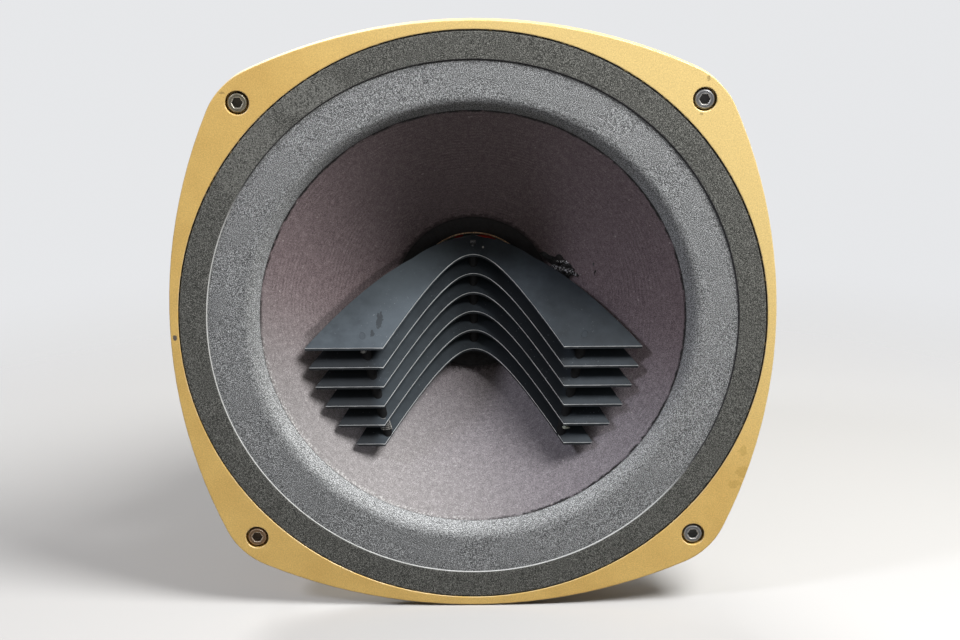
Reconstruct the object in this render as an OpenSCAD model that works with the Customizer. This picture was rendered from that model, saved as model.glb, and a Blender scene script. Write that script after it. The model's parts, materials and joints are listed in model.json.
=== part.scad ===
// Coaxial loudspeaker drive unit: a paper-cone woofer with a horn in its middle
// that fires through an acoustic lens of six slanted plates.
// Millimetres. The axis runs along Y, the front faces -Y and Z points up.
// The origin is the middle of the flange's rear seating face.
// A depth is a distance behind the flange's front face.

/* [Flange] */
// Diameter of the recess that holds the gasket
recess_d = 300.2; // [290:0.2:312]
// Depth of the gasket recess
recess_depth = 1.9; // [1.8:0.1:3]
// Width of the ledge under the gasket
recess_ledge_w = 16.1; // [15.4:0.1:17]
// Least width of the flange beside the recess
flange_rim_w = 4.3; // [3.5:0.1:7]
// Radius of the long curve of each side
flange_side_r = 269.5; // [255:0.5:290]
// Radius of each rounded corner
flange_corner_r = 38.7; // [32:0.1:44]
// Thickness of the flange
flange_t = 9.5; // [8.5:0.1:12]
// Distance from the recess to the middle of each mounting screw, on the diagonal
screw_land = 12.5; // [11:0.1:15]

/* [Basket] */
// How far the basket's outer wall stands outside the flange's opening
basket_step = 9.5; // [8.5:0.1:11]
// Outer diameter of the basket's rear rim
basket_rear_d = 188; // [182:0.5:194]
// Depth of the basket's rear face
basket_depth = 96; // [94:0.5:102]
// Thickness of the basket's wall, measured towards the axis
basket_wall = 6; // [4.5:0.1:7]
// Height of the straight collar behind the flange
collar_h = 3; // [2:0.5:6]
// Height of the straight rim at the rear
rear_rim_h = 8; // [6:0.5:9]
// Thickness of the basket's floor
floor_t = 5; // [4:0.1:6]
// Bore of the basket's floor
floor_bore_d = 104; // [98:0.5:108]
// Inner diameter of the ledge under the spider
ledge_d = 144; // [140:0.5:150]
// Height of the ledge above the floor
ledge_h = 5; // [4.5:0.1:5.5]
// Number of windows between the legs
window_count = 8; // [6:1:9]
// Width of a window at its front edge
window_front_w = 72; // [60:1:76]
// Width of a window at its rear edge
window_rear_w = 48; // [40:1:52]
// Depth of a window's front edge
window_front_depth = 24; // [20:0.5:28]
// Depth of a window's rear edge
window_rear_depth = 76; // [70:0.5:77]
// Corner radius of a window
window_corner_r = 9; // [4:0.5:12]
// Thickness of the rib on each leg
rib_t = 5; // [3:0.5:8]
// Height of the rib above the leg
rib_h = 6; // [3:0.5:8]

/* [Mounting screws] */
// Diameter of the screw's shank
screw_d = 6; // [5:0.1:6.4]
// Length of the screw under its head
screw_len = 30; // [20:1:40]
// Diameter of the screw's head
screw_head_d = 10; // [9:0.1:11]
// Height of the screw's head
screw_head_h = 6; // [5:0.1:6.5]
// Width of the hexagon socket
socket_w = 5; // [4:0.1:6]
// Depth of the hexagon socket
socket_depth = 3; // [2:0.1:4]
// Diameter of the counterbore round the head
counterbore_d = 12; // [11.4:0.1:13]
// How far the head lies below the flange's face
head_sink = 0.6; // [0.2:0.1:1]
// Play of the shank in its hole, on the radius
screw_play = 0.3; // [0.1:0.05:0.5]
// How much thinner the shank is between the head and the thread, on the radius
screw_relief = 0.2; // [0.1:0.05:0.4]

/* [Gasket and surround] */
// Width of the gasket ring
gasket_w = 14.3; // [13.4:0.1:14.6]
// Thickness of the gasket ring
gasket_t = 0.7; // [0.7:0.1:0.9]
// Width of the bevel round the gasket's inner edge
gasket_bevel = 0.6; // [0.2:0.1:0.6]
// Gap between the gasket and the recess wall
gasket_gap = 0.6; // [0.3:0.1:1.5]
// Width of the flat band of foam inside the gasket
foam_flat_w = 14.2; // [13:0.1:15]
// Width of the bend where the foam turns down to the cone
foam_bend_w = 8; // [6:0.5:10]
// Thickness of the foam where it hangs free
foam_t = 1.6; // [1.2:0.1:2.2]
// Thickness of the pressed foam under the gasket and behind the cone
land_t = 1; // [0.6:0.1:1.1]
// Width of the foam band glued behind the cone
land_w = 8; // [5:0.5:12]
// Glue line between a soft piece and what it is stuck to
glue = 0.3; // [0.3:0.05:0.5]

/* [Cone] */
// Diameter of the cone's rim
cone_rim_d = 218.6; // [214:0.2:222]
// Depth of the cone's rim
cone_rim_depth = 7.7; // [6:0.1:9]
// Depth where the cone meets the coil former
cone_neck_depth = 77; // [75:0.1:79]
// Thickness of the paper
cone_t = 1; // [0.6:0.1:1.4]
// How far the flare stands in front of a straight cone
cone_flare = 1.6; // [0:0.1:2.5]
// Outer diameter of the black ring at the neck
neck_ring_d = 84; // [80:0.5:88]
// Distance from the cone's rim to each lead anchor, along the radius
anchor_inset = 58; // [54:0.5:60]
// Angle of the lead anchors above the horizontal
anchor_angle = 17; // [10:0.5:24]
// Angle between the two lead anchors
anchor_spread = 14; // [10:0.5:20]

/* [Voice coil] */
// Bore of the coil former
former_bore_d = 64.8; // [64.4:0.1:66]
// Wall of the coil former
former_t = 0.5; // [0.3:0.05:0.7]
// Depth of the former's front edge
former_rim_depth = 71.5; // [71:0.1:73]
// Thickness of the winding
winding_t = 0.8; // [0.5:0.05:1]
// Height of the winding
winding_h = 14; // [11:0.5:18]
// Clearance between the coil and the iron, on each side
air_gap = 0.6; // [0.4:0.05:0.8]
// Glue line between pieces that move together
bond = 0.05; // [0.02:0.01:0.1]

/* [Spider] */
// Outer diameter of the spider
spider_d = 164; // [158:0.5:168]
// Thickness of the spider's cloth
spider_t = 0.8; // [0.5:0.05:1]
// Height of a corrugation
spider_wave = 1.6; // [1:0.1:2]
// Number of corrugations
spider_waves = 6; // [4:1:8]
// Width of the flat band glued to the coil former
spider_neck_w = 4; // [3:0.5:5]
// Distance from the last corrugation to the ledge
spider_edge_w = 2; // [1:0.5:3]

/* [Woofer magnet] */
// Diameter of the top and back plates
plate_d = 150; // [144:0.5:160]
// Thickness of the top plate
top_plate_t = 10; // [8:0.5:12]
// Thickness of the back plate
back_plate_t = 10; // [9:0.5:14]
// Diameter of the ring magnet
magnet_d = 170; // [160:0.5:180]
// Bore of the ring magnet
magnet_bore_d = 90; // [84:0.5:96]
// Height of the ring magnet
magnet_h = 20; // [16:0.5:26]
// Number of screws that hold the magnet to the basket
magnet_screw_count = 6; // [4:1:8]
// Diameter of those screws
magnet_screw_d = 5; // [4:0.1:6]
// Length of those screws
magnet_screw_len = 12; // [10:0.5:12.5]

/* [Horn] */
// Bore of the horn at its mouth
horn_mouth_d = 59; // [57:0.2:60]
// Bore of the horn at its throat
throat_d = 25; // [20:0.2:27]
// Depth of the horn's mouth
horn_mouth_depth = 68; // [67:0.1:68.5]
// Length of the turned horn piece in front of the pole
horn_len = 27; // [22:0.5:30]
// Gap between the horn and the coil former
horn_gap = 1.2; // [1:0.1:1.6]

/* [Lens] */
// Slope of the plates
lens_slope = 42; // [40:0.5:43]
// Height from one plate to the next
lens_pitch = 10.6; // [10.2:0.1:11]
// Thickness of a plate
lens_t = 1; // [0.8:0.1:1.4]
// Depth of the plates' front edges
lens_front_depth = 16; // [15:0.1:17]
// Height of the first plate's front edge above the axis
lens_first_z = -15.8; // [-17:0.1:-15]
// How far the circle through the wing tips lies below the axis
lens_axis_drop = 6.2; // [5:0.1:7]
// Diameter of that circle
lens_tip_d = 177; // [172:0.5:179]
// Diameter at the bend in the plates' back edges
lens_knee_d = 86; // [82:0.5:88]
// Depth of that bend
lens_knee_depth = 57.8; // [56:0.1:58.5]
// Least distance from the plates to the cone, along the axis
lens_clear = 5.4; // [5:0.1:6]
// Width of the notch at the front edges
notch_w = 94.4; // [90:0.2:98]
// Depth of the notch
notch_len = 43.6; // [40:0.2:45]
// Radius of the notch's round end
notch_r = 14.5; // [10:0.5:16]
// How far the plates reach into the horn's saw cuts
slot_depth = 4; // [2:0.5:6]
// Play of a plate in its saw cut
slot_play = 0.15; // [0.1:0.05:0.3]
// Diameter of the tie rods
rod_d = 3; // [2:0.1:3.4]
// Diameter of the spacers on the rods
spacer_d = 5; // [4.4:0.1:5.6]
// Play of a rod in its holes, on the radius
rod_play = 0.1; // [0.05:0.05:0.15]
// Depth of the middle rod
middle_rod_depth = 65; // [64:0.1:65.4]
// How far the middle rod stands out of the first and last plates
rod_end = 1.5; // [1:0.1:2]
// Depth of the two wing rods
wing_rod_depth = 21.5; // [20:0.1:23]
// Distance of a wing rod from the middle at the first plate
wing_rod_x = 58.2; // [56:0.1:60]
// How far a wing rod leans inward for each millimetre down
wing_rod_lean = 0.226; // [0.2:0.002:0.24]

/* [High-frequency unit] */
// Width of the yoke's plate outside the magnet
yoke_rim_w = 8; // [7:0.5:12]
// Thickness of the yoke's plate
yoke_t = 6; // [5:0.5:8]
// Diameter of the yoke's pole
yoke_pole_d = 42; // [40:0.2:43]
// Bore of the pole under the phase plug
plug_bore_d = 32; // [28:0.5:34]
// Diameter of the magnet
hf_magnet_d = 104; // [100:0.5:110]
// Bore of the magnet
hf_magnet_bore_d = 66; // [60:0.5:70]
// Height of the magnet
hf_magnet_h = 14; // [10:0.5:18]
// Diameter of the rear plate
hf_plate_d = 100; // [98:0.5:104]
// Thickness of the rear plate
hf_plate_t = 5; // [4.5:0.5:7]
// Thickness of the small voice coil with its former
hf_coil_t = 0.8; // [0.5:0.05:1]
// Height of the small voice coil
hf_coil_h = 6; // [5:0.5:7]
// Height of the dome
dome_h = 10; // [8:0.5:12]
// Thickness of the dome and its suspension
dome_t = 0.4; // [0.3:0.05:0.5]
// Gap between the dome and the phase plug
plug_gap = 1; // [0.8:0.1:1.4]
// Diameter of a hole in the phase plug
plug_hole_d = 3; // [2:0.1:3.4]
// Width of the dome's suspension roll
hf_roll_w = 4.8; // [4:0.1:5.5]
// Height of the dome's suspension roll
hf_roll_h = 1.8; // [1:0.1:2.2]
// Thickness of the ring under the suspension
spacer_ring_t = 2; // [1.6:0.1:3]
// Width of the spacer and clamp rings
clamp_w = 6; // [5.5:0.1:7]
// Thickness of the clamp ring
clamp_t = 3.6; // [2.5:0.1:5]
// Diameter of the clamp screws
clamp_screw_d = 2.5; // [2:0.1:3]
// Inner diameter of the rear cover
cover_bore_d = 74; // [72:0.5:76]
// Wall of the rear cover
cover_t = 2; // [1.5:0.1:2.4]
// Length of the rear cover
cover_len = 23; // [20:0.5:28]
// Corner radius of the rear cover
cover_corner_r = 6; // [4:0.5:8]
// Width of the cover's flange
cover_flange_w = 8; // [7.8:0.1:9]
// Diameter of the cover and yoke screws
small_screw_d = 4; // [3:0.1:4.2]
// Distance between the two terminals
hf_tag_pitch = 18; // [14:0.5:24]

/* [Terminals] */
// Width of the terminal board
board_w = 40; // [36:0.5:44]
// Length of the terminal board
board_len = 20; // [18:0.5:20]
// Thickness of the terminal board
board_t = 2; // [1.5:0.1:3]
// Gap between the board's front edge and the basket's wall
board_clear = 1.1; // [0.6:0.1:3]
// Distance between the two solder tags
tag_pitch = 12; // [10:0.5:16]
// Width of a solder tag
tag_w = 5; // [4:0.1:6]
// Length of a solder tag
tag_len = 22; // [20:0.5:24]
// Thickness of a solder tag
tag_t = 0.8; // [0.5:0.1:1]
// Diameter of a rivet
rivet_d = 3; // [2:0.1:3.4]
// Diameter of the flexible leads
lead_d = 1.6; // [1:0.1:2]

/* [Hidden] */
$fn = 96;

// Colours
gold = [0.80, 0.66, 0.38];
felt_grey = [0.28, 0.28, 0.27];
foam_grey = [0.42, 0.42, 0.43];
paper_brown = [0.36, 0.32, 0.32];
dope_black = [0.06, 0.06, 0.06];
kraft = [0.62, 0.44, 0.26];
copper = [0.72, 0.38, 0.22];
cloth_yellow = [0.70, 0.56, 0.30];
lens_black = [0.13, 0.14, 0.16];
steel = [0.60, 0.60, 0.58];
zinc = [0.70, 0.70, 0.68];
ferrite = [0.16, 0.16, 0.17];
phenolic = [0.38, 0.22, 0.12];
brass = [0.78, 0.62, 0.30];
aluminium = [0.75, 0.76, 0.77];
screw_dark = [0.30, 0.28, 0.25];

overlap = 1;
past = 1;

// Sizes of the flange that follow from the recess
flange_w = recess_d + 2 * flange_rim_w;
mouth_d = recess_d - 2 * recess_ledge_w;
gasket_bore_d = recess_d - 2 * gasket_gap - 2 * gasket_w;
basket_front_d = mouth_d + 2 * basket_step;
screw_pitch = (recess_d / 2 + screw_land) * sqrt(2);

// Radii that several pieces share
mouth_r = mouth_d / 2;
recess_r = recess_d / 2;
rim_r = cone_rim_d / 2;
former_in_r = former_bore_d / 2;
former_out_r = former_in_r + former_t;
winding_in_r = former_out_r + bond;
winding_out_r = winding_in_r + winding_t;
pole_r = former_in_r - air_gap;
gap_r = winding_out_r + air_gap;
horn_out_r = former_in_r - horn_gap;
plate_r = plate_d / 2;
ledge_r = ledge_d / 2;
neck_r = former_out_r + bond;
cone_run = rim_r - neck_r;
cone_lean = atan2(cone_neck_depth - cone_rim_depth, cone_run);
cone_axial_t = cone_t / cos(cone_lean);

// Depths of the stack, from the basket backwards
floor_depth = basket_depth - floor_t;
ledge_depth = floor_depth - ledge_h;
magnet_depth = basket_depth + top_plate_t;
back_plate_depth = magnet_depth + magnet_h;
yoke_depth = back_plate_depth + back_plate_t;
hf_magnet_depth = yoke_depth + yoke_t;
hf_plate_depth = hf_magnet_depth + hf_magnet_h;
hf_face_depth = hf_plate_depth + hf_plate_t;
suspension_depth = hf_face_depth + spacer_ring_t;
clamp_depth = suspension_depth + dome_t;
cover_depth = hf_face_depth + cover_len;

// Depths of the voice coil
gap_depth = basket_depth + top_plate_t / 2;
winding_depth = gap_depth - winding_h / 2;
former_tail_depth = winding_depth + winding_h + former_t;

// Horn flare
horn_rear_depth = horn_mouth_depth + horn_len;
flare_rate = ln(horn_mouth_d / throat_d) / (hf_magnet_depth - horn_mouth_depth);

// Curves of the flange: each side's arc, and the circle that rounds each corner
side_offset = flange_side_r - flange_w / 2;
corner_reach = flange_side_r - flange_corner_r;
corner_c = (sqrt(2 * corner_reach ^ 2 - side_offset ^ 2) - side_offset) / 2;
side_angle = atan2(corner_c, corner_c + side_offset);
side_steps = 24;
corner_steps = 10;

// High-frequency unit
yoke_pole_r = yoke_pole_d / 2;
hf_coil_in_r = yoke_pole_r + air_gap;
hf_coil_out_r = hf_coil_in_r + hf_coil_t;
hf_gap_r = hf_coil_out_r + air_gap;
dome_base_r = hf_coil_out_r;
dome_r = (dome_base_r ^ 2 + dome_h ^ 2) / (2 * dome_h);
dome_angle = asin(dome_base_r / dome_r);
dome_steps = 12;
dome_centre_depth = suspension_depth + dome_h - dome_r;
roll_in_r = dome_base_r + glue;
roll_out_r = roll_in_r + hf_roll_w;
clamp_in_r = roll_out_r + glue;
clamp_out_r = clamp_in_r + clamp_w;
clamp_screw_r = (clamp_in_r + clamp_out_r) / 2;
cover_in_r = cover_bore_d / 2;
cover_out_r = cover_in_r + cover_t;
cover_flange_r = cover_out_r + cover_flange_w;
cover_screw_r = cover_out_r + cover_flange_w / 2;
yoke_d = hf_magnet_d + 2 * yoke_rim_w;
yoke_screw_r = (hf_magnet_d + yoke_d) / 4;

// Rows of holes in the phase plug: how many, and how far from the axis
plug_rows = [[6, 5.5], [12, 11.5]];

// Terminals on the rear cover
bush_r = tag_w;
bush_h = 2;
bush_spigot_r = tag_w / 2;
hf_stem_r = 1;

// Fasteners: head sizes, thread depths and the play of a screw in its hole
small_head_r = 3.4;
small_head_h = 2.4;
small_grip = 4;
yoke_grip = 6;
clamp_head_h = 1.4;
clamp_head_r = 2.25;
clamp_grip = 3;
hf_screw_count = 4;
hf_screw_turn = 180 / hf_screw_count;
fit = 0.1;
screw_r = screw_d / 2;
magnet_screw_r = magnet_screw_d / 2;
magnet_head_r = 4.7;
magnet_screw_circle_r = (floor_bore_d + ledge_d) / 4;
magnet_screw_turn = 180 / magnet_screw_count;
rivet_r = rivet_d / 2;
rivet_head_r = rivet_d;
rivet_head_h = 1.2;
rivet_grip = 7;

// Lens notch: a hyperbola with the wanted width, length and end radius
notch_half = notch_w / 2;
notch_h = notch_len ^ 2 / (notch_half ^ 2 / notch_r - 2 * notch_len);
notch_rise = sqrt(notch_h / notch_r);
notch_apex_depth = lens_front_depth + notch_len;
lens_end_depth = horn_mouth_depth + slot_depth;
lens_gap_t = lens_pitch * cos(lens_slope) - lens_t;
lens_drop = lens_t / cos(lens_slope);
lens_count = 6;

// Routes of the two flexible leads, from the cone to their tags: side, depth and height
lead_routes = [
    [[58, 74, 15], [70, 78, 14], [82, 77, 11], [94, 73, 8]],
    [[62, 70, 6], [73, 75, 1], [84, 75, -3], [95, 72, -5]]
];
lead_sides = 8;
lead_steps = 4;

// Eyelets of the leads in the cone
anchor_r = rim_r - anchor_inset;
anchor_shank_r = 0.8;
anchor_head_r = 2.6;
anchor_head_h = 1.6;
anchor_tail_r = 1.8;
anchor_tail_h = 2.5;

// Places of the board's fasteners
board_rear_depth = basket_depth;
board_front_depth = basket_depth - board_len;
pad_h = 12;
pad_rivet_inset = 6;
pad_rivet_depth = basket_depth - pad_h / 2;
pad_rivet_pitch = board_w - 2 * pad_rivet_inset;
tag_rivet_inset = 5;
tag_tail = 6.5;
tag_rivet_depth = board_front_depth + tag_rivet_inset;
tag_front_depth = tag_rivet_depth + tag_tail - tag_len;
board_seat = basket_r(board_front_depth) + board_clear;
tag_seat = board_seat + board_t;
pad_reach = board_seat - basket_rear_d / 2 + basket_wall;

// Places children, made along Z, on the axis of the loudspeaker
module on_axis(depth = 0) {
    translate([0, depth - flange_t, 0]) rotate([-90, 0, 0]) children();
}

// Turns an outline of radius and depth about the axis
module turned(points) {
    on_axis() rotate_extrude() polygon(points);
}

// A flat ring or disc with a square edge
module ring(depth, t, out_r, in_r) {
    on_axis(depth) difference() {
        cylinder(r = out_r, h = t);
        if (in_r > 0) translate([0, 0, -past]) cylinder(r = in_r, h = t + 2 * past);
    }
}

// Copies children round the axis at a radius
module around(count, r, first = 0) {
    for (i = [0 : count - 1]) rotate([0, 0, first + i * 360 / count]) translate([r, 0, 0]) children();
}

// Points of an arc, both ends included
function arc(centre, r, from, to, steps) = [
    for (i = [0 : steps]) let (a = from + (to - from) * i / steps)
        centre + r * [cos(a), sin(a)]
];

// Outline of the flange: four long arcs joined by corner arcs
function flange_outline() =
    let (turn = (90 - 2 * side_angle) / corner_steps, first = side_angle + turn)
    let (side = arc([-side_offset, 0], flange_side_r, -side_angle, side_angle, side_steps))
    let (bend = arc([corner_c, corner_c], flange_corner_r, first, 90 - first, corner_steps - 2))
    [for (q = [0 : 3]) each [
        for (p = concat(side, bend))
        [p[0] * cos(90 * q) - p[1] * sin(90 * q), p[0] * sin(90 * q) + p[1] * cos(90 * q)]
    ]];

// Rounds one corner of an outline that turns left
function corner(before, at, after, r, steps) =
    let (u = (before - at) / norm(before - at), v = (after - at) / norm(after - at))
    let (half = acos(u * v) / 2, centre = at + (u + v) / norm(u + v) * r / sin(half))
    let (first = at + u * r / tan(half) - centre, start = atan2(first[1], first[0]))
    arc(centre, r, start, start + 180 - 2 * half, steps);

// Rounds every corner of an outline that turns left
function rounded(points, r, steps = 5) = let (n = len(points)) [
    for (i = [0 : n - 1]) each
        corner(points[(i + n - 1) % n], points[i], points[(i + 1) % n], r, steps)
];

// Radius of the basket's outer wall at a depth
function basket_r(depth) =
    let (from = flange_t + collar_h, to = basket_depth - rear_rim_h)
    let (share = min(1, max(0, (depth - from) / (to - from))))
    basket_front_d / 2 + (basket_rear_d - basket_front_d) / 2 * share;

// Depth of the cone's front face at a radius
function cone_depth(r) = let (share = (rim_r - r) / (rim_r - neck_r))
    cone_rim_depth + (cone_neck_depth - cone_rim_depth) * share - 4 * cone_flare * share * (1 - share);

// Bore of the horn and the pole at a depth
function horn_r(depth) = throat_d / 2 * exp(flare_rate * (hf_magnet_depth - depth));

// Bore points between two depths, from front to back
function horn_bore(from, to, steps = 6) = [
    for (i = [0 : steps]) let (d = from + (to - from) * i / steps) [horn_r(d), d]
];

module window_cut() {
    front = window_front_w / 2;
    rear = window_rear_w / 2;
    outline = [
        [-front, window_front_depth], [front, window_front_depth],
        [rear, window_rear_depth], [-rear, window_rear_depth]
    ];
    rotate([90, 0, 90]) translate([0, 0, ledge_r]) linear_extrude(basket_front_d / 2)
        polygon(rounded(outline, window_corner_r));
}

module leg_rib() {
    outline = [
        [basket_r(0) - basket_wall / 2, flange_t - overlap],
        [basket_r(0) + rib_h / 2, flange_t - overlap],
        [basket_r(0) + rib_h / 2, flange_t + collar_h],
        [basket_rear_d / 2 + rib_h, basket_depth - rear_rim_h],
        [basket_rear_d / 2 + rib_h / 3, basket_depth],
        [basket_rear_d / 2 - basket_wall / 2, basket_depth],
        [basket_rear_d / 2 - basket_wall / 2, basket_depth - rear_rim_h]
    ];
    rotate([90, 0, 0]) translate([0, 0, -rib_t / 2]) linear_extrude(rib_t) polygon(outline);
}

module basket_bowl() {
    inner_front = basket_front_d / 2 - basket_wall;
    wall_foot = basket_r(ledge_depth) - basket_wall;
    rotate_extrude() polygon([
        [mouth_r, flange_t - overlap],
        [basket_front_d / 2, flange_t - overlap],
        [basket_front_d / 2, flange_t + collar_h],
        [basket_rear_d / 2, basket_depth - rear_rim_h],
        [basket_rear_d / 2, basket_depth],
        [floor_bore_d / 2, basket_depth],
        [floor_bore_d / 2, floor_depth],
        [ledge_r, floor_depth],
        [ledge_r, ledge_depth],
        [wall_foot, ledge_depth],
        [inner_front, flange_t + collar_h],
        [inner_front, flange_t],
        [mouth_r, flange_t]
    ]);
}

// Countersunk screw, head first, along Z
module countersunk(r, head_r, length) {
    rotate_extrude($fn = 48) polygon([[0, 0], [head_r, 0], [r, head_r - r], [r, length], [0, length]]);
}

// Pan-headed screw whose shank runs along -Z from under its head
module pan_screw(r, head_r, head_h, length) {
    rotate_extrude($fn = 48) polygon(concat(
        [[0, -length], [r, -length], [r, 0], [head_r, 0]],
        arc([head_r - head_h / 2, head_h / 2], head_h / 2, 0, 90, 4),
        [[0, head_h]]));
}

module at_corners() {
    for (x = [-1, 1], y = [-1, 1]) translate([x, y, 0] * screw_pitch / 2) children();
}

module chassis() {
    color(gold) on_axis() difference() {
        union() {
            linear_extrude(flange_t) polygon(flange_outline());
            difference() {
                basket_bowl();
                around(window_count, 0) window_cut();
            }
            around(window_count, 0, 180 / window_count) leg_rib();
            translate([board_seat - pad_reach, -board_w / 2, basket_depth - pad_h])
                cube([pad_reach, board_w, pad_h]);
        }
        translate([0, 0, -past]) cylinder(r = recess_r, h = recess_depth + past);
        translate([0, 0, -past]) cylinder(r = mouth_r, h = flange_t + past);
        at_corners() {
            translate([0, 0, -past]) cylinder(d = counterbore_d, h = screw_head_h + head_sink + past);
            cylinder(r = screw_r + screw_play, h = flange_t + past);
        }
        around(magnet_screw_count, magnet_screw_circle_r, magnet_screw_turn)
            translate([0, 0, floor_depth - fit])
            countersunk(magnet_screw_r + fit, magnet_head_r + fit, floor_t + past);
        for (y = [-1, 1]) translate([board_seat + past, y * pad_rivet_pitch / 2, pad_rivet_depth])
            rotate([0, -90, 0]) cylinder(r = rivet_r + fit, h = rivet_grip + 2 * past);
    }
}

module gasket_ring() {
    out_r = recess_r - gasket_gap;
    in_r = gasket_bore_d / 2;
    back = recess_depth - land_t;
    front = back - gasket_t;
    color(felt_grey) turned([[out_r, back], [out_r, front], [in_r + gasket_bevel, front],
        [in_r, front + gasket_bevel], [in_r, back]]);
}

module foam_surround() {
    bend_r = gasket_bore_d / 2 - foam_flat_w;
    in_r = rim_r + glue;
    free_r = mouth_r - glue;
    face = recess_depth - land_t;
    steps = 18;
    back = function (r) cone_depth(r) + cone_axial_t + glue;
    fall = (back(in_r) - face) / (bend_r - in_r - foam_bend_w / 2);
    drop = function (r) let (u = max(bend_r - r, 0))
        face + fall * (u < foam_bend_w ? u * u / foam_bend_w / 2 : u - foam_bend_w / 2);
    shoulder = function (last) [for (i = [0 : steps])
        let (r = bend_r + (last - bend_r) * i / steps) [r, drop(r)]];
    rear = shoulder(in_r + foam_t);
    color(foam_grey) turned(concat(
        [[recess_r - gasket_gap, recess_depth], [recess_r - gasket_gap, face]],
        shoulder(in_r),
        [[rim_r - land_w, back(rim_r - land_w)], [rim_r - land_w, back(rim_r - land_w) + land_t],
         [in_r, back(in_r) + land_t]],
        [for (i = [steps : -1 : 0]) rear[i] + [0, foam_t]],
        [[free_r - foam_t + land_t, face + foam_t], [free_r, recess_depth]]));
}

// Places children at the eyelets in the cone, with Z along the cone's rear normal
module at_anchors() {
    for (s = [-1, 1]) on_axis() rotate([0, 0, -anchor_angle - s * anchor_spread / 2])
        translate([anchor_r, 0, cone_depth(anchor_r)]) rotate([0, cone_lean, 0]) children();
}

module cone() {
    steps = 24;
    front = [for (i = [0 : steps]) let (r = rim_r - cone_run * i / steps) [r, cone_depth(r)]];
    rear = [for (i = [steps : -1 : 0]) front[i] + [0, cone_axial_t]];
    color(paper_brown) difference() {
        turned(concat(front, rear));
        at_anchors() translate([0, 0, -past - cone_t])
            cylinder(r = anchor_shank_r + fit, h = 3 * cone_t + 2 * past);
    }
}

module neck_ring() {
    out_r = neck_ring_d / 2;
    lip = cone_t / 2;
    color(dope_black) turned([
        [out_r, cone_depth(out_r) - fit - lip],
        [neck_r, former_rim_depth + lip],
        [neck_r, cone_depth(neck_r) - fit],
        [(out_r + neck_r) / 2, cone_depth((out_r + neck_r) / 2) - fit],
        [out_r, cone_depth(out_r) - fit]
    ]);
}

module voice_coil_former() {
    color(kraft)
        ring(former_rim_depth, former_tail_depth - former_rim_depth, former_out_r, former_in_r);
}

module voice_coil() {
    color(copper) ring(winding_depth, winding_h, winding_out_r, winding_in_r);
}

module spider() {
    in_r = former_out_r + glue;
    flat_in = in_r + spider_neck_w;
    flat_out = ledge_r - spider_edge_w;
    mid = ledge_depth - spider_t - fit;
    steps = spider_waves * 8;
    face = concat(
        [[in_r, mid]],
        [for (i = [0 : steps]) [flat_in + (flat_out - flat_in) * i / steps,
                                mid + spider_wave * sin(360 * spider_waves * i / steps)]],
        [[spider_d / 2, mid]]);
    color(cloth_yellow)
        turned(concat(face, [for (i = [len(face) - 1 : -1 : 0]) face[i] + [0, spider_t]]));
}

module lead_anchors() {
    steps = 5;
    color(dope_black) at_anchors() {
        rotate_extrude($fn = 32) polygon(concat(
            [[0, cone_t + fit + anchor_tail_h], [0, -fit - anchor_head_h]],
            [for (i = [1 : steps]) let (a = 90 * i / steps)
                [anchor_head_r * sin(a), -fit - anchor_head_h * cos(a)]],
            [[anchor_shank_r, -fit], [anchor_shank_r, cone_t + fit], [anchor_tail_r, cone_t + fit],
             [anchor_tail_r, cone_t + fit + anchor_tail_h]]));
    }
}

// Point behind an eyelet, a distance along the cone's rear normal: side, depth and height
function anchor_point(s, height) =
    let (a = anchor_angle + s * anchor_spread / 2, r = anchor_r + height * sin(cone_lean))
    [r * cos(a), cone_depth(anchor_r) + height * cos(cone_lean), r * sin(a)];

// Point on a smooth curve through p1 and p2
function smooth(p0, p1, p2, p3, t) =
    (2 * p1 + (p2 - p0) * t + (2 * p0 - 5 * p1 + 4 * p2 - p3) * t ^ 2
     + (3 * p1 - p0 - 3 * p2 + p3) * t ^ 3) / 2;

// All points of one lead, from its eyelet to its tag
function lead_path(i) =
    let (s = 1 - 2 * i, base = cone_t + fit + anchor_tail_h + glue)
    let (ends = [anchor_point(s, base), anchor_point(s, base + 2 * lead_d)])
    let (tag = [tag_seat - lead_d / 2 - glue, tag_front_depth + tag_w / 2, s * tag_pitch / 2])
    let (knots = concat(ends, lead_routes[i], [tag - [3 * lead_d, 0, 0], tag]), n = len(knots))
    concat([for (k = [0 : n - 2], j = [0 : lead_steps - 1])
        smooth(knots[max(0, k - 1)], knots[k], knots[k + 1], knots[min(n - 1, k + 2)], j / lead_steps)],
        [tag]);

// Sweeps a round tube along a path of side, depth and height
module tube(path, r) {
    n = len(path);
    function heading(k) = let (d = path[min(n - 1, k + 1)] - path[max(0, k - 1)]) d / norm(d);
    function side(k) = let (c = cross(heading(k), [0, 0, 1])) c / norm(c);
    rings = [for (k = [0 : n - 1], j = [0 : lead_sides - 1])
        let (a = 360 * j / lead_sides, up = cross(side(k), heading(k)))
        path[k] + r * (cos(a) * side(k) + sin(a) * up) - [0, flange_t, 0]];
    walls = [for (k = [0 : n - 2], j = [0 : lead_sides - 1])
        let (a = k * lead_sides + j, b = k * lead_sides + (j + 1) % lead_sides)
        each [[a, b, b + lead_sides], [a, b + lead_sides, a + lead_sides]]];
    last = (n - 1) * lead_sides;
    caps = [for (j = [1 : lead_sides - 2]) each [[0, j + 1, j], [last, last + j, last + j + 1]]];
    polyhedron(rings, concat(walls, caps));
}

module tinsel_leads() {
    color(copper) for (i = [0, 1]) tube(lead_path(i), lead_d / 2);
}

// Places children on the terminal board, with X down, Y as the depth and Z out from the axis
module on_board(out) {
    translate([out, -flange_t, 0]) rotate([0, 90, 0]) children();
}

module at_pad_rivets() {
    for (s = [-1, 1]) translate([s * pad_rivet_pitch / 2, pad_rivet_depth, 0]) children();
}

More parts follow.
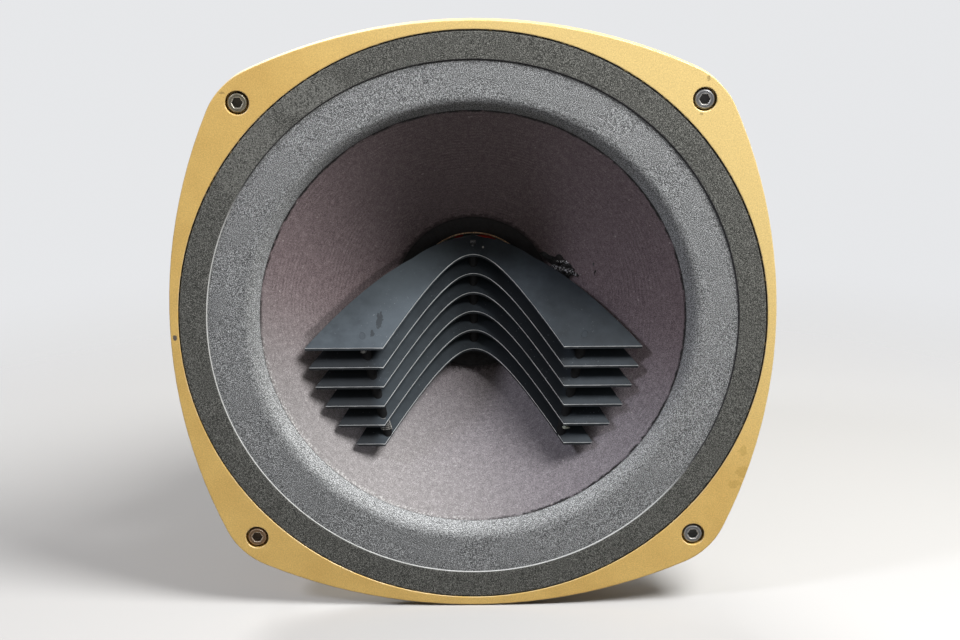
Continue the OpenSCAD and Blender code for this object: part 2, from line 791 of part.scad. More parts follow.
module at_tag_rivets() {
    for (s = [-1, 1]) translate([s * tag_pitch / 2, tag_rivet_depth, 0]) children();
}

module terminal_board() {
    w = board_w / 2;
    outline = [
        [-w, board_front_depth], [w, board_front_depth],
        [w, board_rear_depth], [-w, board_rear_depth]
    ];
    color(phenolic) on_board(board_seat) difference() {
        linear_extrude(board_t) polygon(rounded(outline, board_t));
        translate([0, 0, -past]) {
            at_pad_rivets() cylinder(r = rivet_r + fit, h = board_t + 2 * past);
            at_tag_rivets() cylinder(r = rivet_r + fit, h = board_t + 2 * past);
        }
    }
}

module terminal_tags() {
    color(brass) on_board(tag_seat) difference() {
        for (s = [-1, 1]) translate([s * tag_pitch / 2 - tag_w / 2, tag_front_depth, 0])
            linear_extrude(tag_t) polygon(rounded(
                [[0, 0], [tag_w, 0], [tag_w, tag_len], [0, tag_len]], tag_w / 2 - fit));
        translate([0, 0, -past]) at_tag_rivets() cylinder(r = rivet_r + fit, h = tag_t + 2 * past);
    }
}

// Rivet along Z: a head on the outside and a shank or a second head inside
module rivet(grip, tail) {
    translate([0, 0, -grip]) cylinder(r = rivet_r, h = grip + fit);
    cylinder(r1 = rivet_head_r, r2 = rivet_r, h = rivet_head_h);
    if (tail) translate([0, 0, -grip - rivet_head_h]) cylinder(r = rivet_head_r, h = rivet_head_h);
}

module terminal_rivets() {
    color(zinc) {
        on_board(tag_seat) at_pad_rivets() rivet(board_t + rivet_grip, false);
        on_board(tag_seat + tag_t) at_tag_rivets() rivet(board_t + tag_t, true);
    }
}

module top_plate() {
    color(steel) difference() {
        ring(basket_depth, top_plate_t, plate_r, gap_r);
        on_axis(basket_depth - past) around(magnet_screw_count, magnet_screw_circle_r, magnet_screw_turn)
            cylinder(r = magnet_screw_r + fit, h = magnet_screw_len - floor_t + 2 * past);
    }
}

module ring_magnet() {
    color(ferrite) ring(magnet_depth, magnet_h, magnet_d / 2, magnet_bore_d / 2);
}

module back_plate() {
    color(steel) difference() {
        ring(back_plate_depth, back_plate_t, plate_r, pole_r + fit);
        on_axis(yoke_depth - yoke_grip - past) around(hf_screw_count, yoke_screw_r, hf_screw_turn)
            cylinder(r = small_screw_d / 2 + fit, h = yoke_grip + 2 * past);
    }
}

module pole_piece() {
    color(steel) turned(concat(
        [[pole_r, yoke_depth], [pole_r, horn_rear_depth]],
        horn_bore(horn_rear_depth, yoke_depth)));
}

module magnet_screws() {
    color(zinc) on_axis(floor_depth) around(magnet_screw_count, magnet_screw_circle_r, magnet_screw_turn)
        countersunk(magnet_screw_r, magnet_head_r, magnet_screw_len);
}

// Slab along the slope of the lens plates, with its top edge at a height
module slanted(top_z, t) {
    wide = lens_tip_d + 2 * past;
    translate([0, lens_front_depth - flange_t, top_z]) rotate([lens_slope, 0, 0])
        translate([-wide / 2, -wide / 2, -t]) cube([wide, 2 * wide, t]);
}

function plate_z(k) = lens_first_z - (k - 1) * lens_pitch;

module horn() {
    color(aluminium) difference() {
        turned(concat([[horn_out_r, horn_rear_depth], [horn_out_r, horn_mouth_depth]],
            horn_bore(horn_mouth_depth, horn_rear_depth)));
        intersection() {
            on_axis(horn_mouth_depth - past) cylinder(r = former_in_r, h = slot_depth + past + slot_play);
            for (k = [1 : lens_count])
                slanted(plate_z(k) + slot_play / cos(lens_slope), lens_t + 2 * slot_play);
        }
    }
}

// Depth of the notch's edge at a distance from the middle
function notch_depth(x) = notch_apex_depth + notch_h - sqrt(notch_h ^ 2 + (notch_rise * x) ^ 2);

module notch_cut() {
    steps = 24;
    edge = [for (i = [-steps : steps]) let (x = notch_half * i / steps) [x, notch_depth(x) - flange_t]];
    front = lens_front_depth - flange_t - past;
    translate([0, 0, -lens_tip_d]) linear_extrude(2 * lens_tip_d)
        polygon(concat(edge, [[notch_half, front], [-notch_half, front]]));
}

// Space that the plates fill: their own back edges, kept clear of the cone and the coil
module lens_space() {
    steps = 12;
    top_r = horn_out_r + lens_axis_drop;
    clear_r = [for (i = [0 : steps]) rim_r + (neck_ring_d / 2 - rim_r) * i / steps];
    intersection() {
        translate([0, 0, -lens_axis_drop]) turned([
            [0, lens_front_depth],
            [lens_tip_d / 2, lens_front_depth],
            [lens_knee_d / 2, lens_knee_depth],
            [top_r, horn_mouth_depth],
            [top_r, lens_end_depth],
            [0, lens_end_depth]
        ]);
        turned(concat(
            [[0, lens_end_depth], [0, 0], [rim_r, 0]],
            [for (r = clear_r) [r, cone_depth(r) - lens_clear]],
            [[horn_out_r, horn_mouth_depth - fit], [horn_out_r, lens_end_depth]]));
    }
}

// Places children, made along Z, on the three tie rods
module at_rods() {
    translate([0, middle_rod_depth - flange_t, 0]) children();
    wing_top = plate_z(1) + (wing_rod_depth - lens_front_depth) * tan(lens_slope);
    for (s = [-1, 1]) translate([s * wing_rod_x, wing_rod_depth - flange_t, wing_top])
        rotate([0, s * atan(wing_rod_lean), 0]) children();
}

// A round bar, long enough for the whole stack of plates
module rod_bar(r) {
    translate([0, 0, -lens_tip_d / 2]) cylinder(r = r, h = lens_tip_d, $fn = 32);
}

module lens_plate(k) {
    color(lens_black) difference() {
        intersection() {
            lens_space();
            slanted(plate_z(k), lens_t);
        }
        notch_cut();
        at_rods() rod_bar(rod_d / 2 + rod_play);
    }
}

module lens_plate_1() { lens_plate(1); }
module lens_plate_2() { lens_plate(2); }
module lens_plate_3() { lens_plate(3); }
module lens_plate_4() { lens_plate(4); }
module lens_plate_5() { lens_plate(5); }
module lens_plate_6() { lens_plate(6); }

module lens_rods() {
    stack = (lens_count - 1) * lens_pitch * cos(lens_slope) + lens_t;
    middle_top = plate_z(1) + (middle_rod_depth - lens_front_depth) * tan(lens_slope);
    middle_len = (lens_count - 1) * lens_pitch + lens_drop + 2 * rod_end;
    color(lens_black) {
        translate([0, middle_rod_depth - flange_t, middle_top + rod_end - middle_len])
            cylinder(d = rod_d, h = middle_len, $fn = 32);
        intersection() {
            slanted(plate_z(1), stack);
            difference() {
                at_rods() rod_bar(rod_d / 2);
                translate([0, middle_rod_depth - flange_t, 0])
                    cube([spacer_d, spacer_d, lens_tip_d], center = true);
            }
        }
    }
}

module lens_spacers() {
    color(lens_black) difference() {
        intersection() {
            at_rods() rod_bar(spacer_d / 2);
            for (k = [1 : lens_count - 1]) slanted(plate_z(k) - lens_drop, lens_gap_t);
        }
        at_rods() rod_bar(rod_d / 2 + rod_play);
    }
}

module hf_yoke() {
    color(steel) difference() {
        turned([
            [horn_r(yoke_depth), yoke_depth],
            [yoke_d / 2, yoke_depth],
            [yoke_d / 2, hf_magnet_depth],
            [yoke_pole_r, hf_magnet_depth],
            [yoke_pole_r, hf_face_depth],
            [plug_bore_d / 2, hf_face_depth],
            [throat_d / 2, hf_magnet_depth]
        ]);
        on_axis(yoke_depth - past) around(hf_screw_count, yoke_screw_r, hf_screw_turn)
            cylinder(r = small_screw_d / 2 + fit, h = yoke_t + 2 * past);
    }
}

module hf_magnet() {
    color(ferrite) ring(hf_magnet_depth, hf_magnet_h, hf_magnet_d / 2, hf_magnet_bore_d / 2);
}

module hf_rear_plate() {
    color(steel) difference() {
        ring(hf_plate_depth, hf_plate_t, hf_plate_d / 2, hf_gap_r);
        on_axis(hf_face_depth - clamp_grip) around(hf_screw_count, clamp_screw_r)
            cylinder(r = clamp_screw_d / 2 + fit, h = clamp_grip + past);
        on_axis(hf_face_depth - small_grip) around(hf_screw_count, cover_screw_r, hf_screw_turn)
            cylinder(r = small_screw_d / 2 + fit, h = small_grip + past);
    }
}

module phase_plug() {
    r = dome_r - dome_t - plug_gap;
    edge_r = yoke_pole_r - plug_gap / 2;
    color(dope_black) difference() {
        turned(concat(
            [[0, hf_face_depth], [edge_r, hf_face_depth]],
            [for (i = [0 : dome_steps]) let (a = asin(edge_r / r) * (1 - i / dome_steps))
                [r * sin(a), dome_centre_depth + r * cos(a)]]));
        on_axis(hf_face_depth - past) for (row = plug_rows)
            around(row[0], row[1])
            cylinder(d = plug_hole_d, h = dome_h + spacer_ring_t + past, $fn = 32);
    }
}

// Point of the dome at a radius of curvature and a step from its top
function dome_point(r, i) = let (a = dome_angle * i / dome_steps)
    [r * sin(a), dome_centre_depth + r * cos(a)];

module hf_diaphragm() {
    color(aluminium) turned(concat(
        [for (i = [0 : dome_steps]) dome_point(dome_r, i)],
        [for (i = [dome_steps : -1 : 0]) dome_point(dome_r - dome_t, i)]));
}

module hf_suspension() {
    w = hf_roll_w / 2;
    c = roll_in_r + w;
    steps = 12;
    roll = function (x, h) [for (i = [0 : steps]) let (a = 180 * i / steps)
        [c - x * cos(a), suspension_depth + h * sin(a)]];
    inner = roll(w - dome_t, hf_roll_h);
    outer = roll(w, hf_roll_h + dome_t);
    color(kraft) difference() {
        turned(concat(
            outer,
            [[roll_out_r, suspension_depth + dome_t], [clamp_out_r, suspension_depth + dome_t],
             [clamp_out_r, suspension_depth]],
            [for (i = [steps : -1 : 0]) inner[i]]));
        on_axis(suspension_depth - past) around(hf_screw_count, clamp_screw_r)
            cylinder(r = clamp_screw_d / 2 + fit, h = dome_t + 2 * past);
    }
}

module hf_voice_coil() {
    depth = suspension_depth - dome_t - bond - hf_coil_h;
    color(copper) ring(depth, hf_coil_h, hf_coil_out_r, hf_coil_in_r);
}

module clamp_holes(depth, t) {
    on_axis(depth - past) around(hf_screw_count, clamp_screw_r)
        cylinder(r = clamp_screw_d / 2 + fit, h = t + 2 * past);
}

module hf_spacer_ring() {
    color(phenolic) difference() {
        ring(hf_face_depth, spacer_ring_t, clamp_out_r, clamp_in_r);
        clamp_holes(hf_face_depth, spacer_ring_t);
    }
}

module hf_clamp_ring() {
    color(phenolic) difference() {
        ring(clamp_depth, clamp_t, clamp_out_r, clamp_in_r);
        clamp_holes(clamp_depth, clamp_t);
    }
}

module clamp_screws() {
    grip = clamp_t + dome_t + spacer_ring_t + clamp_grip - fit;
    color(zinc) on_axis(clamp_depth + clamp_t) around(hf_screw_count, clamp_screw_r)
        pan_screw(clamp_screw_d / 2, clamp_head_r, clamp_head_h, grip);
}

// Places children at the two terminals on the rear cover
module at_hf_tags() {
    for (s = [-1, 1]) on_axis(cover_depth) translate([s * hf_tag_pitch / 2, 0, 0]) children();
}

module hf_cover() {
    rear = cover_depth;
    r = cover_corner_r;
    flange_rear = hf_face_depth + cover_t;
    color(gold) difference() {
        turned(concat(
            [[cover_in_r, hf_face_depth], [cover_flange_r, hf_face_depth], [cover_flange_r, flange_rear],
             [cover_out_r, flange_rear]],
            arc([cover_out_r - r, rear - r], r, 0, 90, 6),
            [[0, rear], [0, rear - cover_t]],
            arc([cover_out_r - r, rear - r], r - cover_t, 90, 0, 6)));
        on_axis(hf_face_depth - past) around(hf_screw_count, cover_screw_r, hf_screw_turn)
            cylinder(r = small_screw_d / 2 + fit, h = cover_t + 2 * past);
        at_hf_tags() translate([0, 0, -cover_t - past])
            cylinder(r = bush_spigot_r + fit, h = cover_t + 2 * past);
    }
}

module cover_screws() {
    color(zinc) on_axis(hf_face_depth + cover_t) around(hf_screw_count, cover_screw_r, hf_screw_turn)
        pan_screw(small_screw_d / 2, small_head_r, small_head_h, cover_t + small_grip - fit);
}

module yoke_screws() {
    color(zinc) on_axis(hf_magnet_depth) around(hf_screw_count, yoke_screw_r, hf_screw_turn)
        pan_screw(small_screw_d / 2, small_head_r, small_head_h, yoke_t + yoke_grip - fit);
}

module hf_bushes() {
    color(phenolic) at_hf_tags() difference() {
        union() {
            cylinder(r = bush_r, h = bush_h);
            translate([0, 0, -cover_t]) cylinder(r = bush_spigot_r, h = cover_t + fit);
        }
        translate([0, 0, -cover_t - past]) cylinder(r = hf_stem_r + fit, h = cover_t + bush_h + 2 * past);
    }
}

module hf_tags() {
    blade = tag_len / 2;
    color(brass) at_hf_tags() {
        translate([0, 0, -cover_t]) cylinder(r = hf_stem_r, h = cover_t + bush_h + fit);
        translate([0, tag_t / 2, bush_h]) rotate([90, 0, 0]) linear_extrude(tag_t)
            polygon([[-tag_w / 2, 0], [tag_w / 2, 0], [tag_w / 2, blade - tag_w / 2],
                     [tag_w / 4, blade], [-tag_w / 4, blade], [-tag_w / 2, blade - tag_w / 2]]);
    }
}

module mounting_screws() {
    edge = 0.6;
    head_r = screw_head_d / 2;
    thread_start = flange_t - head_sink;
    tip = screw_head_h + screw_len;
    color(screw_dark) on_axis(head_sink) at_corners() difference() {
        rotate_extrude($fn = 48) polygon([
            [0, 0], [head_r - edge, 0], [head_r, edge], [head_r, screw_head_h],
            [screw_r - screw_relief, screw_head_h], [screw_r - screw_relief, thread_start],
            [screw_r, thread_start], [screw_r, tip - edge], [screw_r - edge, tip], [0, tip]
        ]);
        translate([0, 0, -past]) cylinder(d = socket_w / cos(30), h = socket_depth + past, $fn = 6);
    }
}

chassis();
gasket_ring();
foam_surround();
cone();
neck_ring();
voice_coil_former();
voice_coil();
spider();
lead_anchors();
tinsel_leads();
terminal_board();
terminal_tags();
terminal_rivets();
top_plate();
ring_magnet();
back_plate();
pole_piece();
magnet_screws();
horn();
lens_plate_1();
lens_plate_2();
lens_plate_3();
lens_plate_4();
lens_plate_5();
lens_plate_6();
lens_rods();
lens_spacers();
hf_yoke();
hf_magnet();
hf_rear_plate();
phase_plug();
hf_diaphragm();
hf_suspension();
hf_voice_coil();
hf_spacer_ring();
hf_clamp_ring();
clamp_screws();
hf_cover();
cover_screws();
yoke_screws();
hf_bushes();
hf_tags();
mounting_screws();
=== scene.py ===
import json
import math

import bpy
import numpy as np
from mathutils import Matrix, Vector


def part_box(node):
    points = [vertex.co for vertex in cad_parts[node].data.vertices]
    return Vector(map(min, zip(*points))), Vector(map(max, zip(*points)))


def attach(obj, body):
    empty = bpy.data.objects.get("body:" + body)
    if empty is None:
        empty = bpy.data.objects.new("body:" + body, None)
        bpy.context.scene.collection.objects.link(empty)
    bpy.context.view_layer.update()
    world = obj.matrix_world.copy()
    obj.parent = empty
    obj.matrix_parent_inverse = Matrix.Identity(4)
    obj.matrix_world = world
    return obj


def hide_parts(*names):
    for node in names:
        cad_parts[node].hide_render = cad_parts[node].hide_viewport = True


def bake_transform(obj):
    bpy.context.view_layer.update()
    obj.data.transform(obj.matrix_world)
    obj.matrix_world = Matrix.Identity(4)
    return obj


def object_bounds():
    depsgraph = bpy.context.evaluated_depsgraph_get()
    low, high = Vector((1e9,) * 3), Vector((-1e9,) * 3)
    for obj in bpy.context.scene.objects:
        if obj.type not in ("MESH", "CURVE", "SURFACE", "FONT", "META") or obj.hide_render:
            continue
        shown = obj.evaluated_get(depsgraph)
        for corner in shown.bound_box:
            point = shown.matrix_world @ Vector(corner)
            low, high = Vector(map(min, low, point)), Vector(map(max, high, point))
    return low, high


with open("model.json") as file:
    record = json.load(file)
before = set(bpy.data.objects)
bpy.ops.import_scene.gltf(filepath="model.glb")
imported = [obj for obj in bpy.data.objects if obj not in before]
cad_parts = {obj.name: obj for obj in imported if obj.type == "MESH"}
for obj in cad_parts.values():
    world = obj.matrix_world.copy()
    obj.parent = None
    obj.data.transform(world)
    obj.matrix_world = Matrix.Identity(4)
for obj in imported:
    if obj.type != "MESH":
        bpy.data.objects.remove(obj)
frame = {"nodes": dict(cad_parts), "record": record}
cad_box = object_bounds()


# Camera: the photograph's viewpoint, nearly square in front of the loudspeaker and a little
# above it. The aim point lies on the flange's front face.
def look(aim, azimuth, elevation, roll, distance):
    """Camera matrix: columns are right, up and back, turned by roll about the view line."""
    back = Vector((math.sin(azimuth) * math.cos(elevation),
                   -math.cos(azimuth) * math.cos(elevation), math.sin(elevation)))
    right = Vector((0, 0, 1)).cross(back).normalized()
    up = back.cross(right)
    side = right * math.cos(roll) + up * math.sin(roll)
    top = up * math.cos(roll) - right * math.sin(roll)
    turn = Matrix((side, top, back)).transposed().to_4x4()
    return Matrix.Translation(aim + back * distance) @ turn


eye = bpy.data.cameras.new("camera")
eye.sensor_fit = "HORIZONTAL"
eye.sensor_width = 36
eye.lens = 63.84
eye.clip_start = 0.05
camera = bpy.data.objects.new("camera", eye)
aim = Vector((0.00358, cad_box[0][1], 0.00329))
camera.matrix_world = look(aim, azimuth=math.radians(0.098), elevation=math.radians(15.72),
                           roll=math.radians(-0.47), distance=0.8662)
bpy.context.scene.collection.objects.link(camera)
bpy.context.scene.camera = camera


# Studio: a strong soft lamp at the upper right, a weaker cool one at the upper left, one behind
# for the back of the loudspeaker, a faint warm surround and a plain pale floor.
def lamp(name, place, size, watts, tint=(1.0, 1.0, 1.0)):
    light = bpy.data.lights.new(name, "AREA")
    light.shape = "DISK"
    light.size = size
    light.energy = watts
    light.color = tint
    item = bpy.data.objects.new(name, light)
    item.location = place
    item.rotation_euler = (-Vector(place)).to_track_quat("-Z", "Y").to_euler()
    bpy.context.scene.collection.objects.link(item)


def feed(tree, socket, value):
    """Links a socket to a socket, or sets its constant."""
    if isinstance(value, bpy.types.NodeSocket):
        tree.links.new(value, socket)
    else:
        socket.default_value = value


def add(tree, kind, sockets=None, **settings):
    item = tree.nodes.new("ShaderNode" + kind)
    for key, value in settings.items():
        setattr(item, key, value)
    for key, value in (sockets or {}).items():
        feed(tree, item.inputs[key], value)
    return item


def calc(tree, operation, a, b=0.0, c=0.0):
    return add(tree, "Math", {0: a, 1: b, 2: c}, operation=operation).outputs[0]


def scaled(tree, value, by, plus):
    return calc(tree, "MULTIPLY_ADD", value, by, plus)


def vector(tree, operation, a, b=(0.0, 0.0, 0.0)):
    """Result of a vector node: one number for a length, a distance or a dot product."""
    item = add(tree, "VectorMath", {0: a, 1: b}, operation=operation)
    return item.outputs["Value" if operation in ("LENGTH", "DISTANCE", "DOT_PRODUCT") else "Vector"]


def span(tree, value, low, high):
    """Smooth step of a value from 0 at low to 1 at high, also where low is above high."""
    item = add(tree, "MapRange", {"Value": value, "From Min": low, "From Max": high},
               interpolation_type="SMOOTHSTEP")
    return item.outputs[0]


def seen_ray(tree):
    """1 for the rays of the camera, of reflections and of glass, which see the pale surround."""
    rays = add(tree, "LightPath").outputs
    mirrored = calc(tree, "MAXIMUM", rays["Is Glossy Ray"], rays["Is Transmission Ray"])
    return calc(tree, "MAXIMUM", rays["Is Camera Ray"], mirrored)


def mix(tree, share, a, b, blend="MIX"):
    item = add(tree, "Mix", data_type="RGBA", blend_type=blend)
    feed(tree, item.inputs[0], share)
    feed(tree, item.inputs[6], a)
    feed(tree, item.inputs[7], b)
    return item.outputs[2]


def rgb(red, green, blue):
    """Linear colour of an everyday 0 to 255 colour."""
    return tuple(((c / 255 + 0.055) / 1.055) ** 2.4 for c in (red, green, blue)) + (1.0,)


def wire_up(tree, node, **values):
    """Feeds a node's sockets by name, with underscores for the spaces."""
    for key, value in values.items():
        feed(tree, node.inputs[key.replace("_", " ")], value)


def surface(name, **constants):
    """New material: its tree, its shader and its object coordinates."""
    made = bpy.data.materials.new(name)
    made.use_nodes = True
    tree = made.node_tree
    shader = tree.nodes["Principled BSDF"]
    wire_up(tree, shader, **constants)
    return made, tree, shader, add(tree, "TexCoord").outputs["Object"]


lamp("key", (0.58, -0.33, 0.82), size=0.50, watts=24.5)
lamp("left", (-1.18, -0.65, 1.00), size=0.28, watts=12.5, tint=(0.86, 0.88, 1.0))
lamp("rear", (-0.75, 1.75, 1.35), size=1.0, watts=42)
world = bpy.data.worlds.new("studio")
world.use_nodes = True
tree = world.node_tree
wire_up(tree, tree.nodes["Background"], Strength=scaled(tree, seen_ray(tree), 0.66, 0.16),
        Color=mix(tree, seen_ray(tree), (1.0, 0.94, 0.87, 1), (0.97, 0.98, 1.0, 1)))
bpy.context.scene.world = world
bpy.context.scene.view_settings.view_transform = "Standard"
ground = cad_box[0][2] - 0.0006
side, near, far = 4, -3, 6
pale, tree, shader, place = surface("pale_floor", Roughness=0.9, Specular_IOR_Level=0.1)
wire_up(tree, shader, Base_Color=mix(tree, seen_ray(tree), rgb(70, 70, 70), rgb(172, 171, 169)))
fade = span(tree, vector(tree, "DISTANCE", place, (0.0, 0.06, ground)), 0.75, 0.25)
clear = add(tree, "BsdfTransparent").outputs[0]
blend = add(tree, "MixShader", {0: fade, 1: clear, 2: shader.outputs[0]}).outputs[0]
wire_up(tree, tree.nodes["Material Output"], Surface=blend)
floor = bpy.data.objects.new("floor", bpy.data.meshes.new("floor"))
floor.data.from_pydata([(-side, near, ground), (side, near, ground), (side, far, ground),
                        (-side, far, ground)], [], [(0, 1, 2, 3)])
floor.data.materials.append(pale)
bpy.context.scene.collection.objects.link(floor)


# Chassis and rear cover: cast metal in satin gold paint. The flange's edges are painted pale, part
# wear and part painted highlight, and it has small chips, scratches and greenish stains. Its upper
# right is painted paler as a sheen, a painted shadow blackens the recess's wall, and the basket
# behind is a rougher cast.
def times(tree, first, *rest):
    """Product of masks and numbers."""
    for one in rest:
        first = calc(tree, "MULTIPLY", first, one)
    return first


def xyz(tree, place):
    return add(tree, "SeparateXYZ", {0: place}).outputs


def from_axis(tree, place):
    """Distance from the loudspeaker's axis, which runs along y."""
    return vector(tree, "LENGTH", vector(tree, "MULTIPLY", place, (1, 0, 1)))


def grain(tree, place, scale, detail=2.0, rough=0.5):
    return add(tree, "TexNoise", {"Vector": place, "Scale": scale, "Detail": detail,
                                  "Roughness": rough}).outputs[0]


def ramp(tree, share, *stops):
    item = add(tree, "ValToRGB", {0: share})
    points = item.color_ramp.elements
    while len(points) < len(stops):
        points.new(0.5)
    for point, (at, colour) in zip(points, stops):
        point.position, point.color = at, colour
    return item.outputs[0]


def relief(tree, height, strength, distance, normal=None):
    item = add(tree, "Bump", {"Height": height, "Strength": strength, "Distance": distance})
    if normal is not None:
        wire_up(tree, item, Normal=normal)
    return item.outputs[0]


def spot(tree, place, centre, size, ragged=0.5, grains=900.0):
    """Mask of one ragged mark: 1 inside an ellipsoid of the given half sizes."""
    off = vector(tree, "SUBTRACT", place, centre)
    far = vector(tree, "LENGTH", vector(tree, "MULTIPLY", off, tuple(1 / s for s in size)))
    warp = scaled(tree, grain(tree, place, grains), 2 * ragged, -ragged)
    return span(tree, calc(tree, "ADD", far, warp), 1.0, 0.75)


def spots(tree, place, marks, ragged, grains):
    """Mask of several ragged marks, each a centre and half sizes."""
    found = [spot(tree, place, centre, size, ragged, grains) for centre, size in marks]
    whole = found[0]
    for one in found[1:]:
        whole = calc(tree, "MAXIMUM", whole, one)
    return whole


def worn(tree, radius, low, high):
    """Mask of sharp edges, and the rounded normal there."""
    soft = add(tree, "Bevel", {"Radius": radius}, samples=6).outputs[0]
    match = vector(tree, "DOT_PRODUCT", soft, add(tree, "NewGeometry").outputs["Normal"])
    return span(tree, match, high, low), soft


def dress(stuff, *names):
    """Gives CAD nodes their finish."""
    for name in names:
        frame["nodes"][name].data.materials.clear()
        frame["nodes"][name].data.materials.append(stuff)


face = cad_box[0][1]
recess_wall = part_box("gasket_ring")[1][0] + 0.0007
gold, tree, shader, place = surface("gold_paint", Metallic=0.25)
x, y, z = xyz(tree, place)
cloudy = ramp(tree, grain(tree, place, 45, 3.0), (0.3, rgb(208, 171, 96)), (0.7, rgb(220, 184, 107)))
# The upper right is painted a paler gold as a sheen.
painted_sheen = span(tree, calc(tree, "ADD", x, z), 0.02, 0.20)
cloudy = mix(tree, painted_sheen, cloudy, rgb(222, 194, 126))
fine = scaled(tree, grain(tree, place, 1700, 1.0), 0.6, 0.70)
paint = mix(tree, 1.0, cloudy, fine, "MULTIPLY")
stain = spots(tree, place, (((0.1394, face, -0.0684), (0.0030, 0.002, 0.0028)),
                            ((0.1399, face, -0.0805), (0.0042, 0.002, 0.0034)),
                            ((0.1354, face, -0.0868), (0.0040, 0.002, 0.0022))), ragged=1.0, grains=330)
paint = mix(tree, times(tree, stain, 0.25), paint, rgb(150, 116, 34))
scratch = spots(tree, place, (((-0.1222, face, 0.1199), (0.0016, 0.002, 0.0007)),
                              ((0.1166, face, 0.1254), (0.0009, 0.002, 0.0018)),
                              ((0.1133, face, 0.1078), (0.0012, 0.002, 0.0006))), ragged=0.8, grains=1700)
paint = mix(tree, times(tree, scratch, 0.5), paint, rgb(112, 92, 56))
edge, soft_normal = worn(tree, 0.0009, 0.80, 0.97)
# Edges painted pale: part wear, part painted highlight.
edge_wear_and_painted_light = times(tree, edge, span(tree, grain(tree, place, 170, 3.0), 0.30, 0.60), 0.6)
paint = mix(tree, edge_wear_and_painted_light, paint, rgb(226, 214, 192))
chip = spots(tree, place, (((-0.1522, face, -0.0050), (0.0012, 0.0016, 0.0016)),
                           ((0.0990, face, 0.1366), (0.0022, 0.0016, 0.0010))), ragged=0.6, grains=1500)
paint = mix(tree, chip, paint, rgb(92, 84, 76))
# A painted shadow blackens the recess's wall next to the gasket.
painted_recess_shadow = times(tree, span(tree, from_axis(tree, place), recess_wall + 0.0001, recess_wall),
               span(tree, y, face + 0.0003, face + 0.0007), span(tree, y, -0.0010, -0.0020),
               span(tree, grain(tree, place, 500, 2.0), 0.30, 0.44))
paint = mix(tree, painted_recess_shadow, paint, rgb(26, 21, 14))
cast = times(tree, span(tree, y, 0.0004, 0.003), grain(tree, place, 420, 4.0, 0.6))
bumps = scaled(tree, cast, 2.2, times(tree, grain(tree, place, 1500), 0.5))
wire_up(tree, shader, Base_Color=paint, Roughness=scaled(tree, grain(tree, place, 300), 0.16, 0.38),
        Normal=relief(tree, bumps, 0.2, 0.0004, soft_normal))
dress(gold, "chassis", "hf_cover")


# Mounting screws: blackened steel socket-head screws with threaded shanks, through the flange's
# corners. Their turned rims are painted bright, part wear and part painted highlight, and painted
# shade darkens their sockets. The left ones are tarnished, the lower left one brown.
def ripple(tree, value, rate):
    """Sine wave along a value."""
    return calc(tree, "SINE", calc(tree, "MULTIPLY", value, rate))


half_pitch = frame["record"]["mounts"][0]["dims"]["spacing_x_mm"] / 2000
thread_pitch = 0.001
socket_radius = 0.0031
groove_radius = 0.0036
dark_steel, tree, shader, place = surface("dark_steel", Metallic=0.85, Roughness=0.4)
x, y, z = xyz(tree, place)
across, up = [calc(tree, "SUBTRACT", calc(tree, "ABSOLUTE", way), half_pitch) for way in (x, z)]
radius = vector(tree, "LENGTH", add(tree, "CombineXYZ", {0: across, 1: up}).outputs[0])
bare = mix(tree, span(tree, x, -0.11, -0.07), rgb(118, 112, 96), rgb(122, 123, 124))
rusty = spot(tree, place, (-half_pitch, -0.008, -half_pitch), (0.012, 0.012, 0.012), ragged=0.2)
bare = mix(tree, rusty, bare, rgb(122, 96, 70))
bare = mix(tree, 1.0, bare, scaled(tree, grain(tree, place, 700, 3.0), 0.8, 0.55), "MULTIPLY")
off_groove = calc(tree, "ABSOLUTE", calc(tree, "SUBTRACT", radius, groove_radius))
bare = mix(tree, times(tree, span(tree, off_groove, 0.0005, 0.0001), 0.5), bare, rgb(58, 55, 50))
# Rims painted bright: part wear, part painted highlight.
edge, soft_normal = worn(tree, 0.0009, 0.78, 0.97)
bare = mix(tree, times(tree, edge, 0.8), bare, rgb(222, 216, 204))
# Painted shade darkens the sockets, deepest inside.
socket = times(tree, span(tree, y, -0.0078, -0.0052), span(tree, y, 0.0, -0.0010),
               span(tree, radius, socket_radius + 0.0003, socket_radius))
bare = mix(tree, socket, bare, rgb(44, 40, 36))
shank = span(tree, y, -0.0005, 0.0)
helix = scaled(tree, y, 2 * math.pi / thread_pitch, calc(tree, "ARCTAN2", up, across))
thread = times(tree, calc(tree, "SINE", helix), shank)
bare = mix(tree, times(tree, span(tree, thread, 0.0, -0.8), 0.6), bare, rgb(34, 31, 28))
marks = times(tree, ripple(tree, radius, 11000.0), calc(tree, "SUBTRACT", 1.0, shank), 0.2)
bumps = scaled(tree, thread, 2.0, marks)
wire_up(tree, shader, Base_Color=bare, Normal=relief(tree, bumps, 0.6, 0.0003, soft_normal))
dress(dark_steel, "mounting_screws")


# Gasket ring: a flat ring of speckled grey felt, glued over the foam in the flange's recess.
# Its face is slightly uneven and dusty. Its bevelled inner edge is painted pale at the lower left
# as light and dark elsewhere as shade.
def uneven(points, size, seed):
    """Smooth lumps of about -1 to 1: a sum of nine sine waves, their directions spread over
    a ball, with wave lengths near size, in the units of the points."""
    k = np.arange(9)
    rise = 1 - (2 * k + 1) / 9
    turn = 2.4 * k + seed
    flat = np.sqrt(1 - rise ** 2)
    ways = np.stack((flat * np.cos(turn), rise, flat * np.sin(turn)))
    rate = 2 * np.pi / size * (0.7 + 0.6 * np.mod(0.618 * k, 1))
    return np.sin(points @ (ways * rate) + 1.7 * k * seed).sum(-1) / 3


